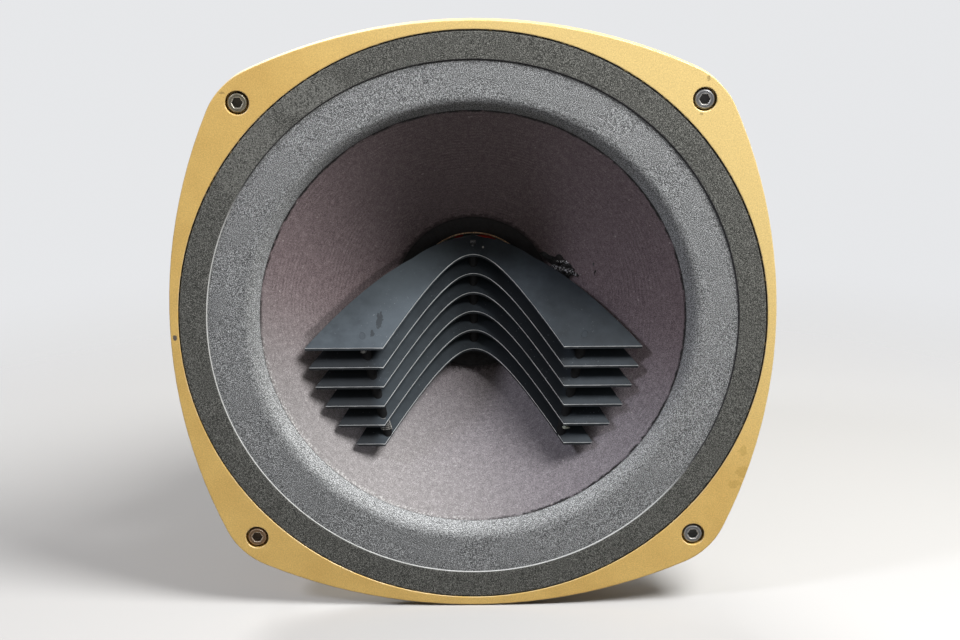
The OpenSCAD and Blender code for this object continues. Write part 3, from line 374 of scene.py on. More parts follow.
def mesh_piece(name, grid, closed=False):
    """Piece from a grid of points in mm. The second way round always closes on itself. The
    first closes too where closed is true, and otherwise gets a flat cap at each end."""
    rows, cols = grid.shape[:2]
    number = np.arange(rows * cols).reshape(rows, cols)
    if closed:
        number = np.vstack((number, number[:1]))
    a, b = number[:-1], number[1:]
    faces = np.stack((a, b, np.roll(b, -1, 1), np.roll(a, -1, 1)), 2).reshape(-1, 4).tolist()
    if not closed:
        faces += [number[0].tolist(), number[-1][::-1].tolist()]
    made = bpy.data.meshes.new(name)
    made.from_pydata((grid.reshape(-1, 3) / 1000).tolist(), [], faces)
    made.polygons.foreach_set("use_smooth", [True] * len(faces))
    made.update()
    item = bpy.data.objects.new(name, made)
    bpy.context.scene.collection.objects.link(item)
    return item


def corners(name):
    """Lowest and highest corner of a CAD node in mm, to a thousandth."""
    return np.round(1000 * np.array(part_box(name)), 3)


front = corners("chassis")[0][1]


def lathe(outline, turns):
    """Grid of an outline of radius and depth, in mm, turned about the axis: x and z are the
    radius times the cosine and sine of the turn, and y is the depth behind the flange's front
    face. The outline runs so that its faces point outwards."""
    r, depth = np.array(outline, float).T
    ahead = np.roll(r, -1), np.roll(depth, -1)
    if np.sum(r * ahead[1] - ahead[0] * depth) > 0:
        r, depth = r[::-1], depth[::-1]
    turn = np.arange(turns)[:, None] * 2 * np.pi / turns
    return np.stack((np.cos(turn) * r, front + depth + 0 * turn, np.sin(turn) * r), 2)


def arc(r, depth, bend, first, last, steps):
    """Rounded corner of an outline: its centre plus the bend's radius times the cosine and
    sine of the turn, from one angle to another in degrees."""
    turn = np.radians(np.linspace(first, last, steps + 1))
    return list(zip(r + bend * np.cos(turn), depth + bend * np.sin(turn)))


play = 0.02
lowest, highest = corners("gasket_ring")
outer = highest[0] - 0.1
inner = outer - 14.15
felt_face = lowest[1] - front + play
felt_back = highest[1] - front - play
corner = 0.4
off_centre = (-0.15, 0.0, -0.25)
grid = lathe([(inner, felt_back), (inner, felt_back - 0.1), (inner + 0.3, felt_face + 0.28),
              (inner + 0.6, felt_face + 0.03)]
             + [(r, felt_face) for r in np.linspace(inner + 0.85, outer - 0.8, 9)]
             + arc(outer - corner, felt_face + corner, corner, 270, 360, 5)
             + [(outer, felt_back)], 360) + off_centre
grid[:, :, 1] += 0.07 * uneven(grid, 26, 2.0) * (grid[:, :, 1] < front + felt_face + 0.08)
gasket = mesh_piece("gasket", grid, closed=True)
dense, tree, shader, place = surface("gasket_felt", Roughness=0.95, Specular_IOR_Level=0.2)
speckle = grain(tree, place, 2300, 2.0, 0.7)
grey = ramp(tree, speckle, (0.34, rgb(35, 36, 34)), (0.50, rgb(78, 78, 74)), (0.66, rgb(137, 137, 131)))
patch = spots(tree, place, (((-0.1090, -0.008, 0.0930), (0.022, 0.01, 0.026)),
                            ((-0.0800, -0.008, 0.1180), (0.022, 0.01, 0.012))), ragged=0.6, grains=70)
dust_and_sheen = times(tree, patch, span(tree, grain(tree, place, 1100, 3.0, 0.8), 0.44, 0.60), 0.35)
grey = mix(tree, dust_and_sheen, grey, rgb(158, 158, 152))
# The bevel is painted pale at the lower left as light and dark elsewhere as shade.
cut = times(tree, span(tree, from_axis(tree, place), 0.13595, 0.13580),
            scaled(tree, grain(tree, place, 300, 3.0), 0.5, 0.5))
x, _, z = xyz(tree, place)
lower_left = scaled(tree, x, -0.546, times(tree, z, -0.838))
edge_wear_and_painted_light = mix(tree, span(tree, lower_left, -0.005, 0.032), rgb(44, 43, 46), rgb(198, 199, 197))
wire_up(tree, shader, Base_Color=mix(tree, cut, grey, edge_wear_and_painted_light), Normal=relief(tree, speckle, 0.6, 0.0006))
gasket.data.materials.append(dense)
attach(gasket, "frame")
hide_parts("gasket_ring")


# Foam surround: a sheet of speckled grey foam, flat inside the gasket and then bent down to
# the cone's rim. Its inner foot is glued behind the cone.
lowest, highest = corners("cone")
cone_rim = highest[0]
cone_run = cone_rim - corners("voice_coil_former")[1][0] - 0.05
rim_depth = lowest[1] - front
cone_fall = 69.3
cone_proud = 1.6


def cone_depth(r):
    """Depth of the cone's front face in mm: a straight run from rim to neck, plus a parabola
    that stands proud of it midway."""
    share = (cone_rim - r) / cone_run
    return rim_depth + cone_fall * share - 4 * cone_proud * share * (1 - share)


foam_face = corners("foam_surround")[0][1] - front + play
foam_back, foam_thick = 1.85, 1.6
foam_rim = cone_rim + 0.2
bend = foam_rim + 10


def shoulder(last, steps):
    """Radius and depth of the foam's face from the flat band in: a cubic, level where it
    leaves the band and steepest at the front edge of the cone's rim."""
    r = np.linspace(bend, last, steps)
    fall = cone_depth(foam_rim) + 0.2 - foam_face
    return list(zip(r, foam_face + fall * ((bend - r) / (bend - foam_rim)) ** 3))


def radial_blend(piece):
    """Bakes a piece's placement into its mesh and reads its points into an array, which nothing uses."""
    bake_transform(piece)
    points = np.empty(len(piece.data.vertices) * 3, np.float32)
    piece.data.vertices.foreach_get("co", points)


foot_behind, foot_thick = 1.65, 1.0
ledge = 133.7
foot = [(r, cone_depth(r) + foot_behind) for r in (cone_rim - 2.5, cone_rim - 5.3, cone_rim - 8)]
grid = lathe([(outer, foam_back), (outer, foam_face)]
             + [(r, foam_face) for r in np.linspace(inner + 0.95, bend + 0.6, 20)]
             + shoulder(foam_rim, 40) + [(foam_rim, rim_depth + 0.8), (foam_rim, rim_depth + 1.4)] + foot
             + [(r, d + foot_thick) for r, d in reversed(foot)] + [(foam_rim + 0.1, rim_depth + 2.4)]
             + [(r, d + foam_thick) for r, d in reversed(shoulder(foam_rim + 1.7, 20))]
             + [(ledge - 0.6, foam_back + 0.65), (ledge, foam_back)], 400)
free = np.clip((ledge + 0.8 - np.hypot(grid[:, :, 0], grid[:, :, 2])) / 5, 0, 1)
grid[:, :, 1] += free * (0.06 * uneven(grid, 3.1, 1.0) + 0.12 * uneven(grid, 34, 4.0))
foam = mesh_piece("foam_sheet", grid, closed=True)
sponge, tree, shader, place = surface("speckled_foam", Roughness=0.9, Specular_IOR_Level=0.3)
speckle = grain(tree, place, 2300, 2.0, 0.7)
grey = ramp(tree, speckle, (0.36, rgb(55, 56, 56)), (0.50, rgb(112, 113, 113)), (0.64, rgb(193, 195, 195)))
radius = from_axis(tree, place)
x, _, z = xyz(tree, place)
low = scaled(tree, x, 0.7, z)
# The bent slope is painted paler as light, most at the lower left, and the band next to the gasket darker
# as painted shade.
painted_slope_light = scaled(tree, span(tree, low, -0.09, -0.13), 0.30, 0.10)
tone_and_painted_light = scaled(tree, grain(tree, place, 30, 2.0), 0.12, 0.94)
tone_and_painted_light = scaled(tree, span(tree, radius, 0.118, 0.112), painted_slope_light, tone_and_painted_light)
tone_and_painted_light = scaled(tree, span(tree, radius, 0.1305, 0.1350), -0.10, tone_and_painted_light)
wire_up(tree, shader, Base_Color=mix(tree, 1.0, grey, tone_and_painted_light, "MULTIPLY"),
        Normal=relief(tree, speckle, 0.7, 0.0008))
foam.data.materials.append(sponge)
radial_blend(foam)
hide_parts("foam_surround")


# Cone: brown felted paper with fine rings from its mould and loose fibres. Its lower half is
# painted greyer and its lower left paler as a sheen, and its right half cooler as a painted tint of
# light. The paper is darker round the neck, a painted shadow lies in a band left of the lens and in
# the gap at its rim, pale painted glints lie on the rim's lower left, and a black dash lies on the
# rim at the bottom.
lens_angle = math.radians(42)
lens_slope = math.tan(lens_angle)
paper, tree, shader, place = surface("felted_paper", Roughness=0.6, Specular_IOR_Level=0.25)
radius = from_axis(tree, place)
x, y, z = xyz(tree, place)
low = scaled(tree, x, 0.9, z)
level = scaled(tree, y, -lens_slope, z)
wobble = scaled(tree, grain(tree, place, 70, 2.0), 0.0022, radius)
rings = times(tree, ripple(tree, wobble, 3600.0), scaled(tree, span(tree, z, -0.04, 0.02), 0.6, 0.4),
              span(tree, grain(tree, place, 40, 2.0), 0.38, 0.65))
fibre = grain(tree, place, 2000, 3.0, 0.8)
felt = grain(tree, place, 420, 3.0, 0.6)
tone = scaled(tree, felt, 0.2, times(tree, fibre, 0.8))
tone = scaled(tree, rings, 0.026, tone)
brown = ramp(tree, tone, (0.36, rgb(76, 65, 66)), (0.50, rgb(108, 95, 97)), (0.66, rgb(158, 144, 145)))
grey = ramp(tree, tone, (0.34, rgb(77, 73, 75)), (0.50, rgb(109, 104, 107)), (0.68, rgb(158, 153, 156)))
dust_and_sheen = ramp(tree, tone, (0.30, rgb(96, 92, 91)), (0.50, rgb(133, 129, 128)), (0.72, rgb(188, 184, 183)))
# The lower half is painted greyer and the lower left paler, a painted sheen.
brown = mix(tree, span(tree, z, 0.010, -0.070), brown, grey)
brown = mix(tree, span(tree, low, -0.05, -0.16), brown, dust_and_sheen)
# The right half is painted cooler and a little darker, a painted tint of the cool lamp's light.
painted_cool_tint = mix(tree, 1.0, brown, (0.90, 0.89, 0.92, 1), "MULTIPLY")
brown = mix(tree, span(tree, x, 0.0, 0.09), brown, painted_cool_tint)
soil = scaled(tree, grain(tree, place, 16, 3.0), 0.22, 0.89)
brown = mix(tree, 1.0, brown, soil, "MULTIPLY")
specks = times(tree, span(tree, grain(tree, place, 480, 1.0), 0.77, 0.80), 0.45)
brown = mix(tree, specks, brown, rgb(196, 188, 184))
# A painted shadow darkens the gap at the rim, away from the lower left.
painted_rim_shadow = times(tree, span(tree, scaled(tree, felt, 0.002, radius), 0.1092, 0.1098),
            span(tree, grain(tree, place, 90, 4.0, 0.7), 0.36, 0.52), span(tree, low, -0.15, -0.06))
brown = mix(tree, painted_rim_shadow, brown, rgb(24, 22, 22))
# Pale painted glints along the rim's lower left.
painted_rim_glints = times(tree, span(tree, radius, 0.1070, 0.1086), span(tree, low, -0.09, -0.13),
               span(tree, grain(tree, place, 800, 3.0, 0.7), 0.52, 0.62), 0.7)
brown = mix(tree, painted_rim_glints, brown, rgb(214, 214, 210))
# A painted shadow on the paper along the left of the lens.
painted_lens_shadow = times(tree, span(tree, scaled(tree, x, 0.085, level), -0.0308, -0.0330),
               span(tree, level, -0.0354, -0.0322), span(tree, x, -0.030, -0.042),
               span(tree, radius, 0.093, 0.086), 0.42)
brown = mix(tree, painted_lens_shadow, brown, rgb(20, 17, 17))
# The paper is painted darker round the neck.
neck_darkening = span(tree, scaled(tree, felt, 0.006, radius), 0.0480, 0.0455)
brown = mix(tree, times(tree, neck_darkening, 0.8), brown, rgb(30, 25, 24))
dash = spot(tree, place, (0.0287, -0.0022, -0.1059), (0.0036, 0.004, 0.0007), ragged=0.4, grains=700)
brown = mix(tree, dash, brown, rgb(24, 22, 22))
bumps = scaled(tree, rings, 0.05, calc(tree, "ADD", fibre, felt))
wire_up(tree, shader, Base_Color=brown, Normal=relief(tree, bumps, 0.4, 0.0006))
dress(paper, "cone")


# Neck ring and eyelets: black sealing compound brushed round the joint of the cone and the
# coil former, uneven and dull, and the same over the eyelets.
dope, tree, shader, place = surface("sealing_compound", Specular_IOR_Level=0.2)
pitch_black = ramp(tree, grain(tree, place, 500, 3.0), (0.3, rgb(9, 8, 8)), (0.7, rgb(22, 19, 18)))
wire_up(tree, shader, Base_Color=pitch_black, Roughness=scaled(tree, grain(tree, place, 260), 0.3, 0.5),
        Normal=relief(tree, grain(tree, place, 420, 3.0), 0.6, 0.001))
dress(dope, "neck_ring", "lead_anchors")


# Coil former and windings: a tube of brown varnished paper, its cut rim tan and painted extra
# pale as a highlight, the tube behind the rim painted dark as shade and nearly black inside, and
# fine copper wire wound in close rings.
kraft, tree, shader, place = surface("kraft_paper", Roughness=0.5)
# The rim's tan is painted extra pale as a highlight.
brown = ramp(tree, grain(tree, place, 1000, 3.0, 0.8), (0.40, rgb(84, 56, 38)), (0.60, rgb(250, 214, 170)))
behind = span(tree, xyz(tree, place)[1], 0.0621, 0.0623)
outside = span(tree, from_axis(tree, place), 0.03260, 0.03280)
# Behind the rim the tube is painted dark as shade, nearly black inside.
painted_shade_behind_rim = mix(tree, outside, rgb(24, 18, 15), mix(tree, 0.45, brown, rgb(96, 66, 40)))
wire_up(tree, shader, Base_Color=mix(tree, behind, brown, painted_shade_behind_rim),
        Normal=relief(tree, grain(tree, place, 800), 0.2, 0.0004))
dress(kraft, "voice_coil_former")
wire, tree, shader, place = surface("copper_wire", Metallic=0.9, Roughness=0.35)
turns = ripple(tree, xyz(tree, place)[1], 18000.0)
copper = ramp(tree, scaled(tree, turns, 0.5, 0.5), (0.1, rgb(120, 58, 34)), (0.8, rgb(196, 112, 70)))
wire_up(tree, shader, Base_Color=copper, Normal=relief(tree, turns, 0.5, 0.0002))
dress(wire, "voice_coil", "hf_voice_coil")


# Glue over the lead ends: a rough shiny black patch on the cone above the two eyelets, with
# painted white glints along its ridge and a few thin smears beside it.
def smear(name, centre, half, tilt, high, seed):
    """Patch on the cone: rings of an ellipse with a ragged rim, from the middle out on top
    and back to the middle underneath. Its height over the cone falls towards the rim."""
    over, back, sides = 30, 6, 72
    share = np.concatenate((np.linspace(0.04, 1, over), np.linspace(1, 0.04, back)))[:, None]
    under = (np.arange(over + back) >= over)[:, None]
    turn = np.arange(sides)[None, :] * 2 * np.pi / sides
    ring = np.stack((np.cos(turn), np.sin(turn), 0 * turn), 2)
    ragged = 1 + 0.22 * uneven(ring, 1.6, seed) + 0.12 * uneven(ring, 0.6, seed + 1)
    u, v = half[0] * ragged * share * np.cos(turn), half[1] * ragged * share * np.sin(turn)
    x = centre[0] + u * math.cos(tilt) - v * math.sin(tilt)
    z = centre[1] + u * math.sin(tilt) + v * math.cos(tilt)
    points = np.stack((x, z, 0 * x), 2)
    lumps = uneven(points, 2.6, seed) + 0.7 * uneven(points, 1.1, seed)
    height = np.where(under, -0.3, high * (1 - share ** 4) * np.clip(1 + 0.5 * lumps, 0.15, 3))
    grid = np.stack((x, front + cone_depth(np.hypot(x, z)) - height, z), 2)
    return mesh_piece(name, grid)


tar, tree, shader, place = surface("shiny_glue", Specular_IOR_Level=0.6)
black = ramp(tree, grain(tree, place, 900, 2.0), (0.4, rgb(6, 6, 6)), (0.7, rgb(22, 20, 19)))
ridge = spots(tree, place, (((0.0480, 0.0500, 0.0154), (0.0085, 0.0090, 0.0016)),
                            ((0.0535, 0.0440, 0.0130), (0.0030, 0.0060, 0.0022)),
                            ((0.0500, 0.0470, 0.0195), (0.0060, 0.0090, 0.0010))), ragged=0.5, grains=500)
# Painted white glints along the ridge.
painted_glints = times(tree, ridge, span(tree, grain(tree, place, 1300, 2.0, 0.7), 0.52, 0.60))
wire_up(tree, shader, Base_Color=mix(tree, painted_glints, black, rgb(250, 250, 250)),
        Roughness=scaled(tree, grain(tree, place, 600), 0.2, 0.05),
        Normal=relief(tree, grain(tree, place, 900, 3.0), 1.0, 0.0025))
for name, centre, half, tilt, high, seed in (
        ("lead_glue", (49.0, 16.0), (9.0, 4.4), -0.34, 2.4, 3.0),
        ("glue_tail", (41.6, 19.3), (6.0, 2.6), -0.5, 0.5, 5.0),
        ("glue_smear_1", (64.0, 21.2), (0.35, 1.5), 0.2, 0.15, 7.0),
        ("glue_smear_2", (64.8, 16.6), (0.4, 1.9), -0.25, 0.15, 8.0)):
    piece = smear(name, centre, half, tilt, high, seed)
    piece.data.materials.append(tar)
    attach(piece, "cone_assembly")


# Lens plates: six slanted sheet metal plates in satin blue-black paint, threaded on rods. Their
# front and notch edges are rubbed bright along the top, and smudges and dust specks lie on the
# faces. Painted light makes the top plate's left, part of its right middle and every left leg
# lighter, with a painted sheen on the middle of the top plate's left wing. Painted shade darkens
# the lower plates' right legs and outer left wings, and the edge faces, most on the right.
first_corner, last_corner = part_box("lens_plate_1")[0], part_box("lens_plate_6")[0]
lens_pitch = (first_corner[2] - last_corner[2]) / 5
plate_thick = 0.001
top_edge_y = first_corner[1]
top_edge_z = first_corner[2] + plate_thick / math.cos(lens_angle)
rod_lean = 0.226
rod_x, rod_y = 0.0582 + 0.01085 * rod_lean, 0.012
satin, tree, shader, place = surface("lens_paint", Specular_IOR_Level=0.2)
x, y, z = xyz(tree, place)
level = scaled(tree, y, -lens_slope, z)
step = calc(tree, "DIVIDE", calc(tree, "ADD", level, top_edge_y * lens_slope - top_edge_z), lens_pitch)
below = calc(tree, "SUBTRACT", 1.0, calc(tree, "FRACT", calc(tree, "SUBTRACT", step, 0.001)))
top = span(tree, step, -0.6, -0.3)
left_leg = times(tree, span(tree, x, -0.004, -0.016), span(tree, x, -0.052, -0.044))
right_leg = times(tree, span(tree, x, 0.004, 0.016), span(tree, x, 0.052, 0.044))
_, facing_y, facing_z = xyz(tree, add(tree, "NewGeometry").outputs["True Normal"])
aside = calc(tree, "SUBTRACT", calc(tree, "ABSOLUTE", x), scaled(tree, z, rod_lean, rod_x))
off_rod = add(tree, "CombineXYZ", {0: aside, 1: calc(tree, "SUBTRACT", y, rod_y)}).outputs[0]
edge = times(tree, span(tree, facing_y, -0.08, -0.2),
             span(tree, calc(tree, "ABSOLUTE", facing_z), 0.4, 0.25),
             span(tree, vector(tree, "LENGTH", off_rod), 0.0018, 0.0024))
wear = scaled(tree, grain(tree, place, 220, 3.0), 0.036, 0.004)
wear = scaled(tree, left_leg, 0.024, wear)
wear = scaled(tree, right_leg, 0.006, wear)
legs = calc(tree, "MAXIMUM", left_leg, right_leg)
line = times(tree, edge, span(tree, calc(tree, "SUBTRACT", below, wear), 0.02, -0.01),
             scaled(tree, legs, 0.4, 0.6))
clouds = grain(tree, place, 130, 4.0, 0.6)
coat = ramp(tree, clouds, (0.3, rgb(29, 34, 38)), (0.7, rgb(38, 44, 49)))
painted_lit_coat = ramp(tree, clouds, (0.3, rgb(52, 58, 63)), (0.7, rgb(66, 73, 78)))
# Painted shade on the lower plates' right legs and outer left wings.
dark = calc(tree, "MAXIMUM", right_leg, span(tree, x, -0.048, -0.056))
dark = times(tree, calc(tree, "SUBTRACT", dark, top), 0.6)
coat = mix(tree, dark, coat, rgb(12, 13, 14))
# Painted light: the top plate's left, part of its right middle and every left leg are lighter.
faint = times(tree, span(tree, x, 0.002, 0.010), span(tree, x, 0.046, 0.022), 0.6)
painted_light_share = times(tree, calc(tree, "MAXIMUM", span(tree, x, 0.012, -0.014), faint), top)
painted_light_share = calc(tree, "MAXIMUM", painted_light_share, times(tree, left_leg, 0.45))
coat = mix(tree, painted_light_share, coat, painted_lit_coat)
# A painted sheen on the middle of the top plate's left wing.
middle = times(tree, span(tree, x, -0.070, -0.034), span(tree, x, -0.006, -0.030), top, 0.5)
coat = mix(tree, middle, coat, rgb(86, 94, 100))
# Painted shade on the edge faces, darker on the right.
painted_edge_shade = mix(tree, left_leg, rgb(14, 15, 16), rgb(34, 36, 38))
coat = mix(tree, times(tree, edge, 0.6), coat, painted_edge_shade)
dust_and_sheen = times(tree, span(tree, grain(tree, place, 1100, 2.0, 0.6), 0.67, 0.75),
             span(tree, grain(tree, place, 60, 2.0), 0.45, 0.7), 0.5)
coat = mix(tree, dust_and_sheen, coat, rgb(150, 156, 160))
smudge = spots(tree, place, (((-0.0496, 0.0192, -0.0044), (0.0020, 0.0055, 0.0055)),
                             ((-0.0528, 0.0132, -0.0097), (0.0011, 0.0024, 0.0024))),
               ragged=1.0, grains=600)
coat = mix(tree, times(tree, smudge, 0.6), coat, rgb(26, 27, 28))
fleck = spot(tree, place, (0.0054, 0.0535, 0.0265), (0.0006, 0.0008, 0.0008), ragged=0.2)
coat = mix(tree, fleck, coat, rgb(205, 205, 200))
wire_up(tree, shader, Metallic=line, Base_Color=mix(tree, line, coat, rgb(226, 228, 228)),
        Roughness=scaled(tree, grain(tree, place, 90, 3.0), 0.16, 0.50),
        Normal=relief(tree, grain(tree, place, 900, 2.0), 0.08, 0.0004))
dress(satin, *(f"lens_plate_{k}" for k in range(1, 7)))


# Lens rods and spacers: blackened metal, dull and dirty, with a black moulded plug behind them
# in the throat. The wing rods' ends are painted with the plates, lighter on the left as painted
# light, and the middle rod is chipped to bare metal.
black, tree, shader, place = surface("black_rods", Roughness=0.75, Specular_IOR_Level=0.15)
soot = ramp(tree, grain(tree, place, 500, 3.0), (0.3, rgb(6, 6, 7)), (0.75, rgb(18, 18, 19)))
wire_up(tree, shader, Base_Color=soot, Normal=relief(tree, grain(tree, place, 800), 0.2, 0.0003))
dress(black, "lens_spacers", "phase_plug")
heads, tree, shader, place = surface("rod_paint", Roughness=0.58, Specular_IOR_Level=0.2)
x, y, _ = xyz(tree, place)
# The wing rods' ends are painted lighter on the left as painted light, like the plates.
wing = mix(tree, span(tree, x, 0.012, -0.014), rgb(33, 39, 44), rgb(59, 65, 70))
chipped = ramp(tree, grain(tree, place, 420, 3.0), (0.42, rgb(26, 27, 28)), (0.66, rgb(140, 142, 144)))
wire_up(tree, shader, Base_Color=mix(tree, span(tree, y, 0.03, 0.04), wing, chipped),
        Normal=relief(tree, grain(tree, place, 900), 0.1, 0.0003))
dress(heads, "lens_rods")


# Horn and dome: turned aluminium with fine tool marks, and a smear of red lacquer on top of
# the horn's neck.
bright, tree, shader, place = surface("turned_aluminium", Roughness=0.35)
silver = ramp(tree, grain(tree, place, 120, 3.0), (0.3, rgb(176, 178, 180)), (0.7, rgb(206, 208, 208)))
lacquer = spots(tree, place, (((0.0085, 0.0620, 0.0303), (0.0070, 0.0050, 0.0030)),
                              ((-0.0080, 0.0640, 0.0305), (0.0030, 0.0030, 0.0030))),
                ragged=0.7, grains=900)
wire_up(tree, shader, Base_Color=mix(tree, lacquer, silver, rgb(230, 66, 54)),
        Metallic=calc(tree, "SUBTRACT", 1.0, lacquer),
        Normal=relief(tree, ripple(tree, xyz(tree, place)[1], 14000.0), 0.08, 0.0002))
dress(bright, "horn", "hf_diaphragm")


# Magnet system: grey plated iron plates with turning marks, and dark grey ceramic magnets
# with a dry, slightly chipped surface.
iron, tree, shader, place = surface("plated_iron", Metallic=0.9)
dull = ramp(tree, grain(tree, place, 70, 4.0), (0.3, rgb(132, 130, 124)), (0.7, rgb(172, 170, 162)))
edge, soft_normal = worn(tree, 0.0008, 0.8, 0.98)
marks = ripple(tree, from_axis(tree, place), 9000.0)
wire_up(tree, shader, Base_Color=mix(tree, times(tree, edge, 0.4), dull, rgb(214, 210, 202)),
        Roughness=scaled(tree, grain(tree, place, 160, 3.0), 0.25, 0.3),
        Normal=relief(tree, marks, 0.10, 0.0002, soft_normal))
dress(iron, "top_plate", "back_plate", "pole_piece", "hf_yoke", "hf_rear_plate")
ceramic, tree, shader, place = surface("ceramic_magnet", Roughness=0.75)
edge, soft_normal = worn(tree, 0.0012, 0.8, 0.98)
stone = ramp(tree, grain(tree, place, 300, 5.0, 0.7), (0.3, rgb(48, 48, 50)), (0.72, rgb(78, 78, 80)))
wire_up(tree, shader, Base_Color=mix(tree, times(tree, edge, 0.35), stone, rgb(120, 120, 120)),
        Normal=relief(tree, grain(tree, place, 350, 4.0), 0.3, 0.0006, soft_normal))
dress(ceramic, "ring_magnet", "hf_magnet")


# Small fasteners: zinc-plated steel screws and rivets with a faint yellow tint, which hold the
# magnets, the rear cover, the dome's rings and the terminals.
zinc, tree, shader, place = surface("zinc_plate", Metallic=1.0, Roughness=0.35)
_, soft_normal = worn(tree, 0.0004, 0.75, 0.98)
plating = ramp(tree, grain(tree, place, 300, 3.0), (0.3, rgb(168, 164, 146)), (0.7, rgb(202, 200, 190)))
wire_up(tree, shader, Base_Color=plating,
        Normal=relief(tree, grain(tree, place, 900), 0.1, 0.0003, soft_normal))
dress(zinc, "magnet_screws", "terminal_rivets", "clamp_screws", "cover_screws", "yoke_screws")


# Terminals and the dome's rings: a board, bushes and rings cut from brown paper laminate, and
# solder tags stamped from brass and tinned.
board, tree, shader, place = surface("brown_laminate", Roughness=0.45)
edge, soft_normal = worn(tree, 0.0004, 0.75, 0.98)
layer = ramp(tree, grain(tree, place, 260, 4.0, 0.65), (0.3, rgb(84, 46, 24)), (0.72, rgb(126, 76, 42)))
wire_up(tree, shader, Base_Color=mix(tree, times(tree, edge, 0.4), layer, rgb(164, 116, 70)),
        Normal=relief(tree, grain(tree, place, 1400), 0.12, 0.0003, soft_normal))
dress(board, "terminal_board", "hf_spacer_ring", "hf_clamp_ring", "hf_bushes")
tinned, tree, shader, place = surface("tinned_brass", Metallic=1.0, Roughness=0.3)
_, soft_normal = worn(tree, 0.0003, 0.75, 0.98)
brass = ramp(tree, grain(tree, place, 350, 3.0), (0.35, rgb(186, 152, 84)), (0.65, rgb(208, 198, 176)))
wire_up(tree, shader, Base_Color=brass,
        Normal=relief(tree, grain(tree, place, 700), 0.12, 0.0003, soft_normal))
dress(tinned, "terminal_tags", "hf_tags")


# Spider: a corrugated disc of yellow resin-stiffened cloth between the coil former and the
# basket's ledge.
def woven(tree, place, rate, grains, dark, light):
    """Plain weave, the product of two sine waves across and up the disc, and its colour."""
    x, _, z = xyz(tree, place)
    cross = times(tree, ripple(tree, x, rate), ripple(tree, z, rate))
    tone = scaled(tree, cross, 0.25, grain(tree, place, grains, 3.0))
    return cross, ramp(tree, tone, (0.25, dark), (0.75, light))


waves, wave_high = 6, 1.6
lowest, highest = corners("spider")
cloth_thick = 0.8
cloth_front = (lowest[1] + highest[1] - cloth_thick) / 2 - front
cloth_neck, cloth_rim = 33.2, highest[0]
wave_in, wave_out = cloth_neck + 4, cloth_rim - 12
# Its profile is six sine waves between a flat neck and a flat rim.
r = np.linspace(wave_in, wave_out, 97)
height = wave_high * np.sin(2 * np.pi * waves * (r - wave_in) / (wave_out - wave_in))
rows = [(cloth_neck, 0.0)] + list(zip(r, height)) + [(wave_out + 2, 0.0), (cloth_rim, 0.0)]
grid = lathe([(r, cloth_front + d) for r, d in rows]
             + [(r, cloth_front + cloth_thick + d) for r, d in reversed(rows)], 300)
disc = mesh_piece("spider_cloth", grid, closed=True)
weave, tree, shader, place = surface("stiffened_cloth", Roughness=0.85)
cross, yellow = woven(tree, place, 7000.0, 200, rgb(140, 104, 48), rgb(200, 164, 96))
wire_up(tree, shader, Base_Color=yellow, Normal=relief(tree, cross, 0.4, 0.0003))
disc.data.materials.append(weave)
radial_blend(disc)
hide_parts("spider")


# Dome suspension: a varnished cloth half roll round the small dome, clamped at its rim.
lowest, highest = corners("hf_suspension")
roll_middle = 25.1
clamp_face = lowest[1] - front
clamped_rim = highest[0] - 0.05


def half_roll(width, height):
    """Half ellipse over the roll's width, rising backwards from the clamping face."""
    turn = np.radians(np.linspace(0, 180, 25))
    return list(zip(roll_middle - width * np.cos(turn), clamp_face + height * np.sin(turn)))


grid = lathe(half_roll(2.4, 2.2) + [(clamped_rim, clamp_face + 0.38), (clamped_rim, clamp_face + play)]
             + half_roll(2.0, 1.8)[::-1], 180)
edging = mesh_piece("dome_edging", grid, closed=True)
varnish, tree, shader, place = surface("varnished_cloth", Roughness=0.45)
cross, amber = woven(tree, place, 12000.0, 300, rgb(112, 78, 36), rgb(176, 138, 78))
wire_up(tree, shader, Base_Color=amber, Normal=relief(tree, cross, 0.3, 0.0002))
edging.data.materials.append(varnish)
radial_blend(edging)
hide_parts("hf_suspension")


# Tinsel leads: two braided copper leads from the eyelets behind the cone to the solder tags,
# slack enough to follow the cone.
def through(knots, steps):
    """Smooth curve through knots: on each stretch a cubic whose slope at a knot is half the
    step between that knot's neighbours."""
    p = np.array(knots, float)
    p = np.vstack((p[:1], p, p[-1:]))[:, None, :]
    t = np.linspace(0, 1, steps, endpoint=False)[None, :, None]
    p0, p1, p2, p3 = p[:-3], p[1:-2], p[2:-1], p[3:]
    run = (2 * p1 + (p2 - p0) * t + (2 * p0 - 5 * p1 + 4 * p2 - p3) * t ** 2
           + (3 * p1 - p0 - 3 * p2 + p3) * t ** 3) / 2
    return np.vstack((run.reshape(-1, 3), p[-1]))


def tube(path, r, sides):
    """Grid of a round tube: circles of radius r square to the path."""
    ahead = np.gradient(path, axis=0)
    ahead /= np.linalg.norm(ahead, axis=1)[:, None]
    side = np.cross(ahead, (0, 0, 1))
    side /= np.linalg.norm(side, axis=1)[:, None]
    rise = np.cross(side, ahead)
    turn = np.arange(sides)[None, :, None] * 2 * np.pi / sides
    return path[:, None] + r * (np.cos(turn) * side[:, None] + np.sin(turn) * rise[:, None])


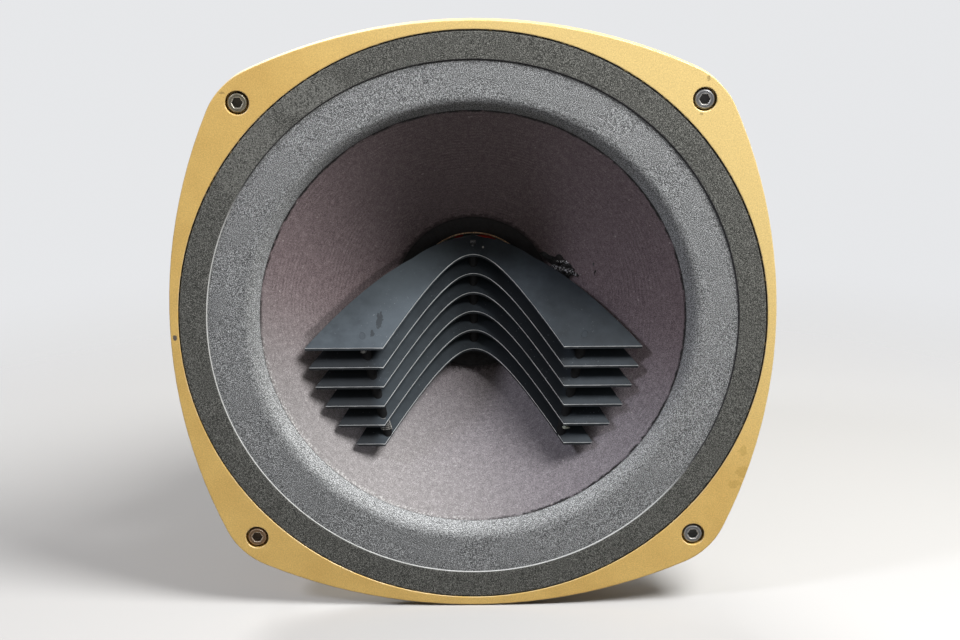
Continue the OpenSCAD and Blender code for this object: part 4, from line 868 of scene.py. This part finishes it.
braid, tree, shader, place = surface("copper_braid", Metallic=0.8, Roughness=0.4)
twist = add(tree, "TexWave", {"Vector": place, "Scale": 900.0, "Distortion": 2.0}, wave_type="BANDS",
            bands_direction="DIAGONAL").outputs[1]
copper = ramp(tree, twist, (0.2, rgb(120, 66, 40)), (0.8, rgb(204, 128, 84)))
wire_up(tree, shader, Base_Color=copper, Normal=relief(tree, twist, 0.5, 0.0003))
lead_r = 0.8
eyelet_r = cone_rim - 58
eyelet_middle, eyelet_turn = 17, 7
tag_x, tag_depth, tag_z = 103.87, 68.0, 6.0
lean = math.atan2(cone_fall, cone_run)
for name, side, middle in (
        ("lead_upper", 1, [(58, 74, 15), (70, 78, 14), (82, 77, 11), (94, 73, 8)]),
        ("lead_lower", -1, [(62, 70, 6), (73, 75, 1), (84, 75, -3), (95, 72, -5)])):
    turn = math.radians(eyelet_middle + side * eyelet_turn)
    knots = []
    for out in (3.9, 7.1):
        r = eyelet_r + out * math.sin(lean)
        knots.append((r * math.cos(turn), cone_depth(eyelet_r) + out * math.cos(lean), r * math.sin(turn)))
    knots += middle + [(x, tag_depth, side * tag_z) for x in (tag_x - 4.8, tag_x)]
    path = through(knots, 10) + (0, front, 0)
    lead = mesh_piece(name, tube(path, lead_r, 12))
    lead.data.materials.append(braid)
    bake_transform(lead)
    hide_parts("tinsel_leads")


# Lens details: a bright threaded end in the lowest left gap of the lens, and two beads of
# hardened glue on the spacers.
def rod_at(side, z):
    """Middle of a wing rod at a height, in mm: the rods lean inwards towards the bottom."""
    return np.stack((side * (1000 * rod_x + rod_lean * z), 1000 * rod_y + 0 * z, z), -1)


def drop(centre, half, seed):
    """Grid of a lumpy ball: circles round the upright axis from pole to pole, its radius
    uneven by a tenth."""
    rings, sides = 16, 24
    rise = np.linspace(0.1, np.pi - 0.1, rings)[:, None]
    turn = np.arange(sides)[None, :] * 2 * np.pi / sides
    ball = np.stack((np.sin(rise) * np.cos(turn), np.sin(rise) * np.sin(turn), np.cos(rise) + 0 * turn), 2)
    return np.array(centre) + ball * np.array(half) * (1 + 0.1 * uneven(ball, 1.2, seed))[:, :, None]


thread_foot, thread_long, thread_turns = -62.6, 7, 7
thread_r, wire_r = 2.7, 0.34
# The thread is a wire that winds up the rod's middle line as a helix.
share = np.linspace(0, 1, 240)
turn = 2 * np.pi * thread_turns * share
path = rod_at(-1, thread_foot + thread_long * share)
path += thread_r * np.stack((np.cos(turn), np.sin(turn), 0 * turn), 1)
thread = mesh_piece("thread_end", tube(path, wire_r, 8))
thread.data.materials.append(dark_steel)
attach(thread, "frame")
resin, tree, shader, place = surface("clear_glue", Specular_IOR_Level=0.7, Roughness=0.12)
clouds = grain(tree, place, 700, 2.0)
pale_glue = ramp(tree, clouds, (0.35, rgb(120, 128, 108)), (0.65, rgb(208, 212, 196)))
dim_glue = ramp(tree, clouds, (0.35, rgb(52, 52, 50)), (0.65, rgb(150, 150, 146)))
right = span(tree, xyz(tree, place)[0], -0.01, 0.01)
wire_up(tree, shader, Base_Color=mix(tree, right, dim_glue, pale_glue),
        Normal=relief(tree, grain(tree, place, 900), 0.4, 0.0006))
for name, centre, half, seed in (("glue_bead_left", (-57.5, 9.4, -18.6), (1.7, 1.2, 1.3), 2.0),
                                 ("glue_bead_right", (48.6, 9.3, -61.4), (2.0, 1.2, 0.9), 6.0)):
    piece = mesh_piece(name, drop(centre, half, seed))
    piece.data.materials.append(resin)
    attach(piece, "frame")
